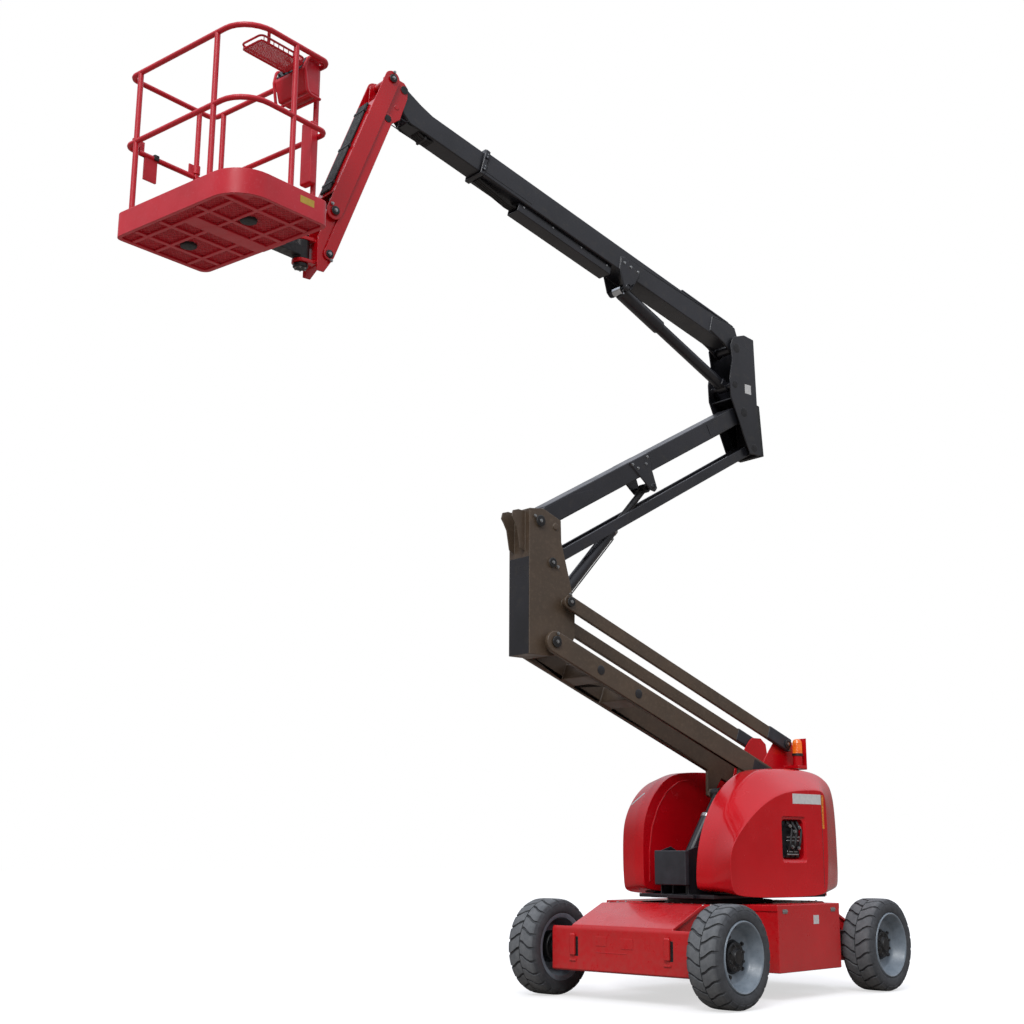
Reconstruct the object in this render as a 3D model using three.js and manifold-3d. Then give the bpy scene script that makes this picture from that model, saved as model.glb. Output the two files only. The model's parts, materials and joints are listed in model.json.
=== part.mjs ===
// Articulating boom lift: a four-wheeled electric machine with a slewing turret, two
// parallelogram arms that fold over each other, a telescopic main boom, a jib and a basket.
// Millimetres, +Z up. The origin is on the ground under the slew axis, which stands midway
// between the axles. +X runs along the chassis to the end that the basket hangs over.
// In the boom's own upright plane a point is [u, z]: u is forward from the slew axis.
import * as THREE from "three";
import { mergeVertices } from "three/addons/utils/BufferGeometryUtils.js";
import Module from "manifold-3d";

const wasm = await Module();
wasm.setup();

// ---------------------------------------------------------------- driving dimensions
const fitGap = 0.3; // between pieces that touch
const pinFacets = 16;
const runGap = 6; // between pieces that move past each other
const glandGap = 0.8; // a rod in its barrel, a pad in its tube
const pinGap = 1.1; // a hole round its pin

const wheelbase = 2006;
const overallWidth = 1836;
const tyreRadius = 340;
const tyreWidth = 258;
const rimRadius = 237;
const spindleRadius = 46;
const groundClearance = 194;
const steerOffset = 92; // kingpin to the tyre's inner face

const frameHalfWidth = 430;
const frameTop = 628;
const endReach = 157; // axle to the chassis end plate
const endHalfWidth = 618; // at the driven end
const steerEndHalfWidth = 545;
const endPlateTop = 500;
const slopeHalfWidth = 446;
const slopeRun = 360; // end plate to where the end cover levels out
const sideBoxLength = 855;
const sideBoxMiddle = -72;
const sideBoxOuter = 770;
const sideBoxTop = 655;

const slewAtRest = -8; // degrees, the turret's turn in the stored pose
const slewRingRadius = 360;
const deckBottom = 688;
const deckThickness = 26;
const hoodTop = 1640;
const hoodRear = -992;
const hoodInner = 226;
const hoodOuter = 598;
const hoodInnerRight = 312;
const hoodOuterRight = 554;
const hoodWall = 8;
const skirtBottom = 695; // the hoods' lower edge, outside the deck
const deckHalfWidth = 380;
const weightHalfWidth = 215;

const armPin = 34; // pin radius of the arms
const linkPin = 28; // pin radius of the links
const armHalfGap = 147; // half the clear width between the lower arm's twin beams
const armBeamWidth = 35;
const lowerArmLength = 2476;
const lowerArmDepth = 158;
const lowerArmAngle = 20.95;
const lowerLinkDepth = 100;
const lowerPivot = [-554, 1562];
const lowerLinkOffset = [-136, 298];

const knuckleHalfWidth = 113; // first knuckle, outside
const knucklePlate = 12;
const upperPinOffset = [96, 866]; // from the lower arm's pin to the upper arm's pin
const upperArmLength = 2556;
const upperArmAngle = 29.5;
const upperArmDepth = 146;
const upperArmHalfWidth = 88;
const upperLinkDepth = 80;
const upperLinkOffset = [-115, -288];

const riserHalfWidth = 126; // second knuckle, outside
const boomPinOffset = [66, 548]; // from the upper arm's pin to the main boom's pin
const boomFootOffset = [100, 222]; // from the upper arm's pin to the boom cylinder's pin
const boomAngle = 15.2;
const boomLength = 2814;
const boomDepth = 194;
const boomHalfWidth = 88;
const boomWall = 6;
const flyDepth = 170;
const flyHalfWidth = 74;
const flyReach = 3480; // main boom's pin to the end of the inner section's tube
const headPinReach = 3587;
const headPinRise = 208;

const jibLength = 1217;
const jibAngle = -69;
const jibPinOffset = [119, 35]; // from the inner section's pin to the jib's upper pin
const jibLinkOffset = [22, -310];
const jibPin = 30;
const jibLinkPin = 26;
const jibHalfWidth = 117;
const jibPlate = 9;
const sideGap = 5; // between plates that swing past each other

const swivelOffset = [178, -330]; // from the jib's lower pin to the basket swivel
const basketTurn = 11.3; // degrees, the basket's turn on its swivel in the stored pose
const basketLength = 1200;
const basketDepth = 740;
const basketHeight = 1147;
const floorDrop = 30; // swivel's middle to the underside of the floor
const basketSetback = 235; // swivel axis to the basket's rear edge
const basketShift = -84; // swivel axis to the basket's middle, sideways
const toeBoard = 165;
const railRadius = 18;
const gateTravel = 380;
const consoleWidth = 270;
const consoleInset = 56; // from the rail's corner
const consoleDepth = 150;
const consoleGap = 8; // between the console and the rail it hangs on
const trayGap = 6; // between the tray and the console
const trayReach = 60; // past the start of the front corner's bend

const colours = {
  red: 0xb51020,
  black: 0x25272c,
  tyre: 0x4c4e50,
  rim: 0x76808a,
  steel: 0x9aa0a4,
  amber: 0xe07818,
  dark: 0x17181a,
};

// ---------------------------------------------------------------- solids
const radians = THREE.MathUtils.degToRad;

function solidOf(geometry) {
  const bare = geometry.clone();
  bare.deleteAttribute("normal");
  bare.deleteAttribute("uv");
  const merged = mergeVertices(bare, 1e-3);
  const mesh = new wasm.Mesh({
    numProp: 3,
    vertProperties: merged.attributes.position.array,
    triVerts: new Uint32Array(merged.index.array),
  });
  return new wasm.Manifold(mesh);
}

function geometryOf(solid) {
  const mesh = solid.getMesh();
  const geometry = new THREE.BufferGeometry();
  geometry.setAttribute("position", new THREE.BufferAttribute(mesh.vertProperties, 3));
  geometry.setIndex(new THREE.BufferAttribute(mesh.triVerts, 1));
  geometry.computeVertexNormals();
  return geometry;
}

const join = (first, ...others) => others.reduce((all, next) => all.add(next), first);
const cut = (first, ...others) => others.reduce((all, next) => all.subtract(next), first);

function box(x0, x1, y0, y1, z0, z1) {
  const geometry = new THREE.BoxGeometry(x1 - x0, y1 - y0, z1 - z0);
  geometry.translate((x0 + x1) / 2, (y0 + y1) / 2, (z0 + z1) / 2);
  return solidOf(geometry);
}

// A plate with an outline of [x, z] points, between two places across.
function plate(outline, y0, y1) {
  const shape = new THREE.Shape(outline.map(([x, z]) => new THREE.Vector2(x, z)));
  return plateOf(shape, y0, y1);
}

function plateOf(shape, y0, y1, curveSegments = 8) {
  const settings = { depth: y1 - y0, bevelEnabled: false, curveSegments };
  const geometry = new THREE.ExtrudeGeometry(shape, settings);
  geometry.rotateX(Math.PI / 2);
  geometry.translate(0, y1, 0);
  return solidOf(geometry);
}

// The same plate on both sides of the middle plane.
function platePair(outline, y0, y1) {
  return plate(outline, y0, y1).add(plate(outline, -y1, -y0));
}

function pin([x, z], radius, y0, y1, sides = pinFacets) {
  const geometry = new THREE.CylinderGeometry(radius, radius, y1 - y0, sides);
  geometry.translate(x, (y0 + y1) / 2, z);
  return solidOf(geometry);
}

function pinPair(place, radius, y0, y1, sides = pinFacets) {
  return pin(place, radius, y0, y1, sides).add(pin(place, radius, -y1, -y0, sides));
}

// A round bar along X.
function bar(x0, x1, radius, z = 0, y = 0, sides = pinFacets) {
  const geometry = new THREE.CylinderGeometry(radius, radius, x1 - x0, sides);
  geometry.rotateZ(Math.PI / 2);
  geometry.translate((x0 + x1) / 2, y, z);
  return solidOf(geometry);
}

function post([x, y], radius, z0, z1, sides = 20) {
  const geometry = new THREE.CylinderGeometry(radius, radius, z1 - z0, sides);
  geometry.rotateX(Math.PI / 2);
  geometry.translate(x, y, (z0 + z1) / 2);
  return solidOf(geometry);
}

// A bar whose ends are rounded about its two pins, [x, z] each.
function roundEnded(length, depth, y0, y1) {
  const half = depth / 2;
  const shape = new THREE.Shape();
  shape.moveTo(0, -half);
  shape.lineTo(length, -half);
  shape.absarc(length, 0, half, -Math.PI / 2, Math.PI / 2, false);
  shape.lineTo(0, half);
  shape.absarc(0, 0, half, Math.PI / 2, -Math.PI / 2, false);
  return plateOf(shape, y0, y1, 7);
}

function lathe(profile, segments) {
  const points = profile.map(([radius, along]) => new THREE.Vector2(radius, along));
  return new THREE.LatheGeometry(points, segments);
}

// A rounded rectangle seen from above, with a radius for each corner, going round from +X +Y.
function rimOutline(halfX, halfY, radii) {
  const shape = new THREE.Shape();
  const corners = [
    [halfX, halfY, 0],
    [-halfX, halfY, 90],
    [-halfX, -halfY, 180],
    [halfX, -halfY, 270],
  ];
  corners.forEach(([x, y, start], i) => {
    const r = radii[i];
    const cx = x - Math.sign(x) * r;
    const cy = y - Math.sign(y) * r;
    shape.absarc(cx, cy, r, radians(start), radians(start + 90), false);
  });
  shape.closePath();
  return shape;
}

function slab(shape, z0, z1, curveSegments = 6) {
  const settings = { depth: z1 - z0, bevelEnabled: false, curveSegments };
  const geometry = new THREE.ExtrudeGeometry(shape, settings);
  geometry.translate(0, 0, z0);
  return solidOf(geometry);
}

// ---------------------------------------------------------------- scene helpers
const machine = new THREE.Group();

function meshOf(name, shape, colour, finish = {}) {
  const geometry = shape.isBufferGeometry ? shape : geometryOf(shape);
  const look = { color: colours[colour], roughness: 0.4, metalness: 0, ...finish };
  const mesh = new THREE.Mesh(geometry, new THREE.MeshStandardMaterial(look));
  mesh.name = name;
  return mesh;
}

function add(parent, name, shape, colour, finish) {
  const mesh = meshOf(name, shape, colour, finish);
  parent.add(mesh);
  return mesh;
}

// A group at a pin of the boom plane, with its X turned up from forward by an angle.
function frameAt(parent, [u, z], degrees = 0) {
  const group = new THREE.Group();
  group.position.set(u, 0, z);
  group.rotation.y = -radians(degrees);
  parent.add(group);
  return group;
}

const plus = ([u, z], [du, dz]) => [u + du, z + dz];
const minus = ([u, z], [du, dz]) => [u - du, z - dz];

function along([u, z], degrees, distance, rise = 0) {
  const c = Math.cos(radians(degrees));
  const s = Math.sin(radians(degrees));
  return [u + distance * c - rise * s, z + distance * s + rise * c];
}

const bearing = ([u0, z0], [u1, z1]) => THREE.MathUtils.radToDeg(Math.atan2(z1 - z0, u1 - u0));
const span = ([u0, z0], [u1, z1]) => Math.hypot(u1 - u0, z1 - z0);

// ---------------------------------------------------------------- pins of the boom plane
const lowerTip = along(lowerPivot, lowerArmAngle, lowerArmLength);
const lowerLinkPivot = plus(lowerPivot, lowerLinkOffset);
const lowerLinkTip = plus(lowerTip, lowerLinkOffset);
const upperPivot = plus(lowerTip, upperPinOffset);
const upperTip = along(upperPivot, 180 - upperArmAngle, upperArmLength);
const upperLinkPivot = plus(upperPivot, upperLinkOffset);
const upperLinkTip = plus(upperTip, upperLinkOffset);
const boomPivot = plus(upperTip, boomPinOffset);
const boomFoot = plus(upperTip, boomFootOffset);
const headPivot = along(boomPivot, boomAngle, headPinReach, headPinRise);
const jibPivot = plus(headPivot, jibPinOffset);
const jibLinkPivot = plus(jibPivot, jibLinkOffset);
const jibTip = along(jibPivot, jibAngle, jibLength);
const jibLinkTip = plus(jibTip, jibLinkOffset);
const swivel = plus(jibTip, swivelOffset);

// ---------------------------------------------------------------- chassis
const trackOuter = overallWidth / 2;
const tyreInner = trackOuter - tyreWidth;
const axleX = wheelbase / 2;
const endLength = axleX + endReach;
const slopeTop = endLength - slopeRun;

const wellTop = endPlateTop - 30;
const axlePortTop = 442;

function chassisFrame() {
  const rail = [
    [-endLength + 12, groundClearance + 16],
    [endLength - 12, groundClearance + 16],
    [endLength - 12, endPlateTop - 12],
    [slopeTop, frameTop],
    [-slopeTop, frameTop],
    [-endLength + 12, endPlateTop - 12],
  ];
  const tub = plate(rail, -frameHalfWidth, frameHalfWidth);
  const wellHalfWidth = frameHalfWidth - 14;
  const well = box(-360, 360, -wellHalfWidth, wellHalfWidth, groundClearance, frameTop - 20);
  const wells = [1, -1].map((side) => {
    const x0 = side > 0 ? 380 : -endLength + 30;
    const x1 = side > 0 ? endLength - 30 : -380;
    return box(x0, x1, -wellHalfWidth, wellHalfWidth, groundClearance, wellTop);
  });
  const ports = [axleX, -axleX].map((x) => {
    return box(x - 102, x + 102, -endHalfWidth, endHalfWidth, groundClearance, axlePortTop);
  });
  const ringSeat = post([0, 0], slewRingRadius + 12, frameTop - 24, frameTop + 12, 40);
  return cut(tub, well, ...wells, ...ports).add(ringSeat);
}

// The wide plate across each end of the chassis and the sloping cover behind it.
function endCover(side) {
  const x = endLength;
  const front = [
    [x, groundClearance],
    [x + 14, groundClearance + 10],
    [x + 14, endPlateTop - 24],
    [x, endPlateTop],
    [x - 12 + fitGap, endPlateTop - 4],
    [x - 12 + fitGap, groundClearance],
  ];
  const faceHalf = side > 0 ? endHalfWidth : steerEndHalfWidth;
  let cover = plate(front, -faceHalf, faceHalf);
  const slope = [
    [x, endPlateTop],
    [x - 12 + fitGap, endPlateTop - 12 + fitGap],
    [slopeTop, frameTop + fitGap],
    [520, frameTop + fitGap],
    [520, frameTop + 26],
    [slopeTop + 16, frameTop + 26],
    [x - 4, endPlateTop + 10],
  ];
  cover = cover.add(plate(slope, -slopeHalfWidth, slopeHalfWidth));
  const ear = [
    [x + 12, groundClearance + 90],
    [x + 34, groundClearance + 120],
    [x + 34, endPlateTop - 60],
    [x + 12, endPlateTop - 30],
  ];
  for (const y of [-440, 392]) cover = cover.add(plate(ear, y, y + 34));
  const geometry = geometryOf(cover);
  if (side < 0) geometry.rotateZ(Math.PI);
  return geometry;
}

function sideBox(side) {
  const x0 = sideBoxMiddle - sideBoxLength / 2;
  const x1 = sideBoxMiddle + sideBoxLength / 2;
  const inner = frameHalfWidth + fitGap;
  const y0 = side > 0 ? inner : -sideBoxOuter;
  const y1 = side > 0 ? sideBoxOuter : -inner;
  const lid = 44;
  const body = box(x0 + 4, x1 - 4, y0, y1, groundClearance, sideBoxTop - lid);
  const cap = box(x0, x1, y0, y1, sideBoxTop - lid, sideBoxTop);
  return body.add(cap);
}

// The fixed axle across the +X end, with a drive hub at each side.
function driveAxle() {
  const z = tyreRadius;
  const inner = frameHalfWidth;
  const beam = box(axleX - 70, axleX + 70, -inner, inner, z - 62, z + 62);
  const saddle = box(axleX - 60, axleX + 60, -300, 300, z, wellTop - fitGap);
  const motors = pinPair([axleX, z], 96, inner - 60, tyreInner + 40);
  const spindles = pinPair([axleX, z], spindleRadius, tyreInner + 30, tyreInner + 96);
  return join(beam, saddle, motors, spindles);
}

const kingpinY = tyreInner - steerOffset;

// The axle across the -X end, with a fork for a kingpin at each side.
function steerAxle() {
  const z = tyreRadius;
  const half = kingpinY + 58;
  const beam = box(-axleX - 60, -axleX + 60, -300, 300, z - 55, wellTop - fitGap);
  const forks = [];
  for (const y of [kingpinY, -kingpinY]) {
    for (const z0 of [z - 92, z + 64]) {
      forks.push(box(-axleX - 50, -axleX + 50, Math.min(y, 0), Math.max(y, 0), z0, z0 + 28));
      forks.push(post([-axleX, y], 50, z0, z0 + 28, 24));
    }
  }
  const middle = box(-axleX - 50, -axleX + 50, -kingpinY + 74, kingpinY - 74, z - 92, z + 92);
  const room = box(-axleX - 90, -axleX + 90, -half, half, z - 64, z + 64);
  const arms = join(...forks).subtract(room);
  return join(beam, middle, arms);
}

// A steered wheel's carrier: the kingpin boss, the spindle and the steering arm.
function steeringKnuckle(side) {
  const z = tyreRadius;
  const y = side * kingpinY;
  const boss = post([-axleX, y], 44, z - 64 + glandGap, z + 64 - glandGap, 24);
  const reach = tyreInner + 96;
  const y0 = side > 0 ? kingpinY : -reach;
  const y1 = side > 0 ? reach : -kingpinY;
  const spindle = pin([-axleX, z], spindleRadius, y0, y1);
  const arm = box(-axleX + 30, -axleX + 150, y - 18, y + 18, z - 20, z + 20);
  return join(boss, spindle, arm);
}

const wheelFacets = 36; // the tyre and its rim share their facets, so that they nest

function tyreGeometry() {
  const half = tyreWidth / 2;
  const seat = rimRadius + fitGap;
  const side = [
    [seat, -half + 8],
    [seat + 24, -half],
    [tyreRadius - 36, -half + 2],
    [tyreRadius - 12, -half + 16],
    [tyreRadius, -half + 42],
  ];
  const other = side.map(([r, y]) => [r, -y]).reverse();
  return lathe([...side, ...other, side[0]], wheelFacets);
}

// A deep dish: the barrel's lip at the outer face (+Y), the disc set in, a hub boss inside.
function rimGeometry() {
  const half = tyreWidth / 2;
  const bore = spindleRadius + 0.9;
  const profile = [
    [rimRadius, -half + 10],
    [rimRadius, half - 10],
    [rimRadius - 8, half - 2],
    [rimRadius - 24, half - 12],
    [rimRadius - 60, half - 96],
    [108, half - 104],
    [98, half - 70],
    [0, half - 66],
    [0, -half + 97],
    [bore, -half + 97],
    [bore, -half + 60],
    [112, -half + 60],
    [126, half - 124],
    [rimRadius - 66, half - 114],
    [rimRadius - 26, -half + 10],
    [rimRadius, -half + 10],
  ];
  return lathe(profile, wheelFacets);
}

function wheel(parent, place, x, side) {
  const group = new THREE.Group();
  group.position.set(x, side * (trackOuter - tyreWidth / 2), tyreRadius);
  if (side < 0) group.rotation.z = Math.PI;
  parent.add(group);
  add(group, `tyre_${place}`, tyreGeometry(), "tyre", { roughness: 0.85 });
  add(group, `rim_${place}`, rimGeometry(), "rim", { roughness: 0.5 });
}

const chassis = new THREE.Group();
machine.add(chassis);
add(chassis, "chassis_frame", chassisFrame(), "red");
add(chassis, "front_end_cover", endCover(1), "red");
add(chassis, "rear_end_cover", endCover(-1), "red");
add(chassis, "side_box_left", sideBox(1), "red");
add(chassis, "side_box_right", sideBox(-1), "red");
add(chassis, "drive_axle", driveAxle(), "dark");
add(chassis, "steer_axle", steerAxle(), "dark");
add(chassis, "steering_knuckle_left", steeringKnuckle(1), "dark");
add(chassis, "steering_knuckle_right", steeringKnuckle(-1), "dark");
wheel(chassis, "front_left", axleX, 1);
wheel(chassis, "front_right", axleX, -1);
wheel(chassis, "rear_left", -axleX, 1);
wheel(chassis, "rear_right", -axleX, -1);

const ringBottom = frameTop + 12 + fitGap;
const slewRing = cut(
  post([0, 0], slewRingRadius, ringBottom, deckBottom - runGap, 40),
  post([0, 0], slewRingRadius - 90, ringBottom - 10, deckBottom, 40),
);
add(chassis, "slew_ring", slewRing, "dark", { roughness: 0.6 });

// ---------------------------------------------------------------- turret
const turret = new THREE.Group();
turret.rotation.z = radians(slewAtRest);
machine.add(turret);

const deckTop = deckBottom + deckThickness;
const mastInner = riserHalfWidth + runGap;
const mastOuter = armHalfGap - runGap;
const deckFront = 470;
const lowerLiftFoot = [330, 900];
const beaconY = armHalfGap + armBeamWidth + 58;
const beaconBottom = 1690;
const lowerLiftLug = [430, -270]; // along the lower arm and off its middle line
const lowerLiftEye = along(lowerPivot, lowerArmAngle, ...lowerLiftLug);

// The deck on the slew ring, the gusset plates and the cylinder's foot bracket.
function turretFrame() {
  const middle = box(-860, deckFront, -215, 215, deckBottom, deckTop);
  const wings = box(-840, deckFront - 40, -deckHalfWidth, deckHalfWidth, deckBottom, deckTop);
  const round = post([0, 0], slewRingRadius, deckBottom - runGap + glandGap, deckTop, 40);
  const gusset = [
    [440, deckTop - 4],
    [440, 1030],
    [330, 1060],
    [200, 1000],
    [-320, 900],
    [-320, deckTop - 4],
  ];
  const gussets = platePair(gusset, mastInner, mastOuter);
  const footPlate = [
    [250, deckTop - 4],
    [388, deckTop - 4],
    [380, lowerLiftFoot[1] + 26],
    [330, lowerLiftFoot[1] + 50],
    [280, lowerLiftFoot[1] + 26],
  ];
  const feet = platePair(footPlate, 62, 78);
  const footPin = pin(lowerLiftFoot, 24, -86, 86);
  return join(middle, wings, round, gussets, feet, footPin);
}

// The upright plates that carry the lower arm and its links at stub pins.
function mast() {
  const outline = [
    [-860, deckTop + fitGap],
    [-350, deckTop + fitGap],
    [-350, 1500],
    [-430, 1700],
    [-600, 1900],
    [-640, 1925],
    [-740, 1925],
    [-800, 1880],
    [-840, 1640],
    [-860, 1500],
  ];
  const sides = platePair(outline, mastInner, mastOuter);
  const outer = armHalfGap + armBeamWidth + 8;
  const armPins = pinPair(lowerPivot, armPin, mastOuter - 4, outer);
  const linkPins = pinPair(lowerLinkPivot, linkPin, mastOuter - 4, outer);
  const web = box(-860, -846, -mastOuter, mastOuter, deckTop + fitGap, 1180);
  const shelf = box(-790, -690, mastOuter - 4, beaconY + 44, beaconBottom - 24, beaconBottom);
  return join(sides, armPins, linkPins, web, shelf);
}

// A hood's side view on its tall inner side and on its lower outer face, in matching corners.
const hoodBottom = deckTop + fitGap;
const hoodTall = [
  [hoodRear + 2, hoodBottom + 70],
  [hoodRear + 40, hoodBottom],
  [410, hoodBottom],
  [452, hoodBottom + 60],
  [440, 950],
  [419, 1055],
  [366, 1213],
  [264, 1386],
  [129, 1520],
  [-40, hoodTop - 28],
  [-158, hoodTop - 2],
  [-381, hoodTop + 12],
  [-733, hoodTop],
  [-874, hoodTop - 59],
  [hoodRear + 6, 1493],
  [hoodRear, 952],
];
const hoodLow = [
  [-596, skirtBottom + 50],
  [-566, skirtBottom],
  [430, skirtBottom],
  [476, skirtBottom + 60],
  [488, 953],
  [462, 1054],
  [400, 1130],
  [290, 1236],
  [139, 1345],
  [-29, 1427],
  [-200, 1468],
  [-400, 1482],
  [-590, 1486],
  [-608, 1430],
  [-622, 1350],
  [-620, 953],
];

// The right hood is boxier: its front stands upright before it rounds into the top.
const rightTall = [
  [hoodRear + 2, hoodBottom + 70],
  [hoodRear + 40, hoodBottom],
  [410, hoodBottom],
  [450, hoodBottom + 60],
  [452, 950],
  [450, 1107],
  [440, 1240],
  [390, 1360],
  [300, 1482],
  [160, 1598],
  [-20, 1636],
  [-381, 1642],
  [-733, hoodTop - 10],
  [-874, hoodTop - 59],
  [hoodRear + 6, 1493],
  [hoodRear, 952],
];
const rightLow = [
  [-900, skirtBottom + 50],
  [-866, skirtBottom],
  [390, skirtBottom],
  [424, skirtBottom + 56],
  [432, 950],
  [430, 1100],
  [420, 1226],
  [372, 1340],
  [286, 1456],
  [140, 1562],
  [-30, 1588],
  [-381, 1592],
  [-700, 1580],
  [-826, 1530],
  [-906, 1450],
  [-912, 952],
];

const mix = (low, high, f) => low.map(([u, z], i) => [
  u + (high[i][0] - u) * f,
  z + (high[i][1] - z) * f,
]);

// An outline drawn in by a wall's thickness at each corner.
function drawnIn(outline, wall) {
  return outline.map((here, i) => {
    const before = outline[(i + outline.length - 1) % outline.length];
    const after = outline[(i + 1) % outline.length];
    const first = new THREE.Vector2(here[0] - before[0], here[1] - before[1]).normalize();
    const second = new THREE.Vector2(after[0] - here[0], after[1] - here[1]).normalize();
    const inward = new THREE.Vector2(-first.y - second.y, first.x + second.x).normalize();
    const spread = Math.max(0.5, inward.dot(new THREE.Vector2(-first.y, first.x)));
    return [here[0] + (inward.x * wall) / spread, here[1] + (inward.y * wall) / spread];
  });
}

// A solid lofted through outlines of matching corners, each [outline, y] with y rising.
function loftAcross(sections) {
  const count = sections[0][0].length;
  const rings = sections.map(([outline, y]) => outline.map(([x, z]) => [x, y, z]));
  const faces = [];
  for (let ring = 0; ring + 1 < rings.length; ring++) {
    for (let i = 0; i < count; i++) {
      const a = ring * count + i;
      const b = ring * count + ((i + 1) % count);
      faces.push(a, a + count, b, b, a + count, b + count);
    }
  }
  const flat = sections[0][0].map(([x, z]) => new THREE.Vector2(x, z));
  const last = sections[sections.length - 1][0].map(([x, z]) => new THREE.Vector2(x, z));
  const top = (rings.length - 1) * count;
  THREE.ShapeUtils.triangulateShape(flat, []).forEach(([a, b, c]) => faces.push(a, b, c));
  THREE.ShapeUtils.triangulateShape(last, []).forEach(([a, b, c]) => {
    faces.push(top + a, top + c, top + b);
  });
  const geometry = new THREE.BufferGeometry();
  geometry.setAttribute("position", new THREE.Float32BufferAttribute(rings.flat(2), 3));
  geometry.setIndex(faces);
  return solidOf(geometry);
}

const leftForm = { tall: hoodTall, low: hoodLow, inner: hoodInner, outer: hoodOuter, lean: 200 };
const rightForm = {
  tall: rightTall,
  low: rightLow,
  inner: hoodInnerRight,
  outer: hoodOuterRight,
  lean: 150,
};

// A hood's outside, or its inside when it is drawn in by the wall.
function hoodSkin({ tall, low, inner, outer, lean }, inset) {
  const edge = mix(tall, low, 1 - inset / lean);
  return loftAcross([
    [drawnIn(tall, inset), inner + inset],
    [drawnIn(tall, inset), outer - lean],
    [drawnIn(edge, inset), outer - inset],
  ]);
}

function hood(form) {
  const hollow = hoodSkin(form, hoodWall);
  const holeInner = form.inner + 20;
  const holeOuter = form.outer - 70;
  const floorHole = box(-860, 380, holeInner, holeOuter, hoodBottom - 40, hoodBottom + 60);
  return cut(hoodSkin(form, 0), hollow, floorHole);
}

const windowHole = box(-350, -104, hoodOuter - 60, hoodOuter + 20, 965, 1260);
add(turret, "turret_frame", turretFrame(), "black");
add(turret, "mast", mast(), "red");
add(turret, "hood_left", hood(leftForm).subtract(windowHole), "red");
add(turret, "hood_right", hood(rightForm).mirror([0, 1, 0]), "red");

const packBottom = deckTop + fitGap;
const packInset = 30;
const packTop = 1150;
const pump = box(-540, 290, hoodInner + packInset, hoodOuter - 92, packBottom, packTop);
add(turret, "hydraulic_pack", pump, "dark", { roughness: 0.6 });
const batteryInner = -hoodInnerRight - packInset;
const battery = box(-540, 290, -hoodOuterRight + 92, batteryInner, packBottom, packTop);
add(turret, "battery_pack", battery, "dark", { roughness: 0.6 });
const frontBox = box(440 + fitGap, 486, -160, 160, 780, 1030);
add(turret, "front_box", frontBox, "black", { roughness: 0.6 });

// A cast block across the tail, with a neck that reaches in between the hoods.
function counterweight() {
  const x1 = hoodRear - 6;
  const wide = slab(rimOutline(45, weightHalfWidth, [8, 40, 40, 8]), deckBottom, 1180);
  const neck = box(x1 - 40, -860 - fitGap, -hoodInner + 6, hoodInner - 6, deckBottom, 1240);
  return wide.translate([x1 - 45, 0, 0]).add(neck);
}
add(turret, "counterweight", counterweight(), "red");

const beaconBase = post([-742, beaconY], 38, beaconBottom + fitGap, beaconBottom + 80, 20);
add(turret, "beacon_stand", beaconBase, "red");
const lensBottom = beaconBottom + 80 + fitGap;
const lens = post([-742, beaconY], 42, lensBottom, lensBottom + 130, 24);
add(turret, "beacon_lens", lens, "amber", { roughness: 0.25 });

// ---------------------------------------------------------------- lifting cylinders
// A barrel on its foot pin and a rod with an open eye between the lugs at its other end.
// The rod starts far enough up the barrel to slide in by its retraction.
function liftCylinder(name, foot, eye, size) {
  const length = span(foot, eye);
  const frame = frameAt(turret, foot, bearing(foot, eye));
  const { bore, rod, foot: footPin, halfFoot, eyeRadius, halfEye, barrelEnd, retract } = size;
  const bottom = footPin + 46;
  const boss = pin([0, 0], footPin + 14, -halfFoot, halfFoot);
  const neck = box(footPin, footPin + 50, -halfFoot, halfFoot, -bore * 0.6, bore * 0.6);
  const tube = bar(footPin + 24, barrelEnd, bore);
  const pinHole = pin([0, 0], footPin + pinGap, -halfFoot - 5, halfFoot + 5);
  const hollow = bar(bottom, barrelEnd + 5, rod + glandGap);
  add(frame, `${name}_barrel`, cut(join(boss, neck, tube), pinHole, hollow), "black");
  const shaft = bar(bottom + retract + runGap, length - eyeRadius * 0.6, rod);
  const ring = pin([length, 0], eyeRadius, -halfEye, halfEye);
  const hole = pin([length, 0], eyeRadius * 0.55, -halfEye - 5, halfEye + 5);
  const parts = size.sleeve ? [shaft, ring, size.sleeve(length)] : [shaft, ring];
  add(frame, `${name}_rod`, cut(join(...parts), hole), "steel", { metalness: 0.9 });
}

liftCylinder("lower_lift", lowerLiftFoot, lowerLiftEye, {
  bore: 46,
  rod: 27,
  foot: 24,
  halfFoot: 54,
  eyeRadius: 38,
  halfEye: 38,
  barrelEnd: 474,
  retract: 155,
});

// ---------------------------------------------------------------- lower arm and its links
const armOuter = armHalfGap + armBeamWidth;

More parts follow.
